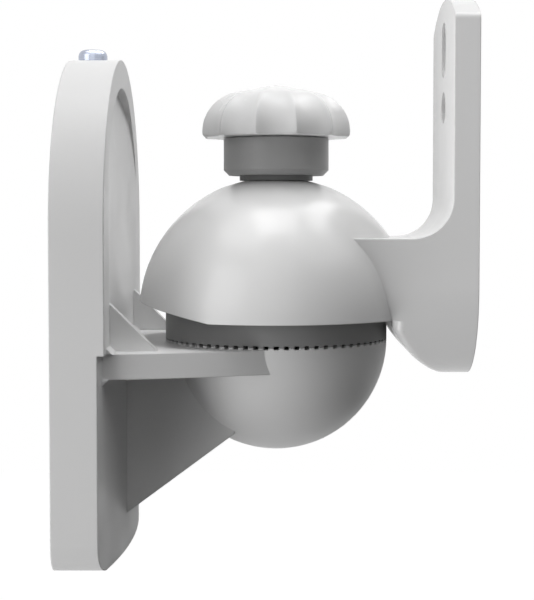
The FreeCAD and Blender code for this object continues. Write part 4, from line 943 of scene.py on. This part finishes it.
one_screw = pan_screw("retainer_screw", zinc_steel, RETAINER_LENGTH, RETAINER_PITCH,
                      (RETAINER_CIRCLE, 0, 0))
one_screw.materials.clear()
three_screws = shaped("retainer_screws_threaded", one_screw, ring_of_sectors, {
    "Count": 3, "Place": (AXIS_X, 0, RETAINER_SEAT * MM), "Finish": zinc_steel})
as_piece("retainer_screws_threaded", three_screws, "bracket", "zinc_steel", "retainer_screws")

# %% [markdown]
# ## The clamping bolt
#
# The bolt stands on its head in the bowl and runs up through the whole stack to the knob. It
# is seen only when the knob is slack, between dome and neck. Its hexagon is turned too:
# each row's radius follows the six flats, and the lower corners are cut back by a cone.

# %% Bolt
BOLT_RADIUS, BOLT_ROOT, BOLT_PITCH = 3.0, 2.45, 1.0
BOLT_HEAD_FLAT, BOLT_HEAD_HEIGHT, BOLT_LENGTH = 5.0, 4.0, 55.0
BOLT_FACE = 0.95
BOLT_CONE = math.radians(30)
BOLT_POINT_INSET, BOLT_POINT_LENGTH = 0.6, 0.9
BOLT_PLAIN_END = 1.5
BOLT_COLUMNS = 72
BOLT_FOOT = -20.0


def hexagon_bolt():
    """Hexagon bolt with its head down and its thread over the whole shank."""
    turns = np.linspace(0, 2 * math.pi, BOLT_COLUMNS + 1)
    side = BOLT_HEAD_FLAT / np.cos(turns % (math.pi / 3) - math.pi / 6)
    face = BOLT_HEAD_FLAT * BOLT_FACE
    fall = (side - face) * math.tan(BOLT_CONE)
    top = BOLT_HEAD_HEIGHT + BOLT_LENGTH
    rows = [(0, 0), (face, 0), (side, fall), (side, BOLT_HEAD_HEIGHT),
            (BOLT_ROOT, BOLT_HEAD_HEIGHT), (BOLT_ROOT, top - BOLT_POINT_LENGTH),
            (BOLT_ROOT - BOLT_POINT_INSET, top), (0, top)]
    blank = turned("clamp_bolt_threaded", rows, BOLT_COLUMNS)
    place = Vector((AXIS_X, 0, BOLT_FOOT * MM))
    blank.transform(Matrix.Translation(place))
    return shaped("clamp_bolt_threaded", blank, thread, {
        "Root": BOLT_ROOT * MM, "Depth": (BOLT_RADIUS - BOLT_ROOT) * MM,
        "Pitch": BOLT_PITCH * MM, "Length": (BOLT_LENGTH - 2 * BOLT_PLAIN_END) * MM,
        "Place": place + Vector((0, 0, (BOLT_HEAD_HEIGHT + BOLT_PLAIN_END) * MM)),
        "Finish": zinc_steel})


as_piece("clamp_bolt_threaded", hexagon_bolt(), "bracket", "zinc_steel", "clamp_bolt")

# %% [markdown]
# ## A finish for each solid
#
# The other pieces have the right shape already, so only their material slots change. The
# drum and the neck share one grey, which is painted shade for the dark under the dome. The
# collar is a lighter grey, painted shade for the dark under the knob. What is hidden gets a
# plain inner white, zinc plated steel or the grey of drawn spring wire.

# %% Give each solid its finish
FINISHES = {
    "wall_plate": inner_white,
    "wall_housing": housing_white,
    "lock_nut": zinc_steel,
    "bolt_retainer": zinc_steel,
    "lift_spring": spring_steel,
    "swivel_core": core_painted_shade,
    "speaker_arm": arm_white,
    "seat_washer": core_painted_shade,
    "collar": collar_painted_shade,
    "knob_washer": zinc_steel,
    "knob_nut": zinc_steel,
}
for node_name, material in FINISHES.items():
    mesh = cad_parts[node_name].data
    mesh.materials.clear()
    mesh.materials.append(material)
print("finished", len(FINISHES), "solids")
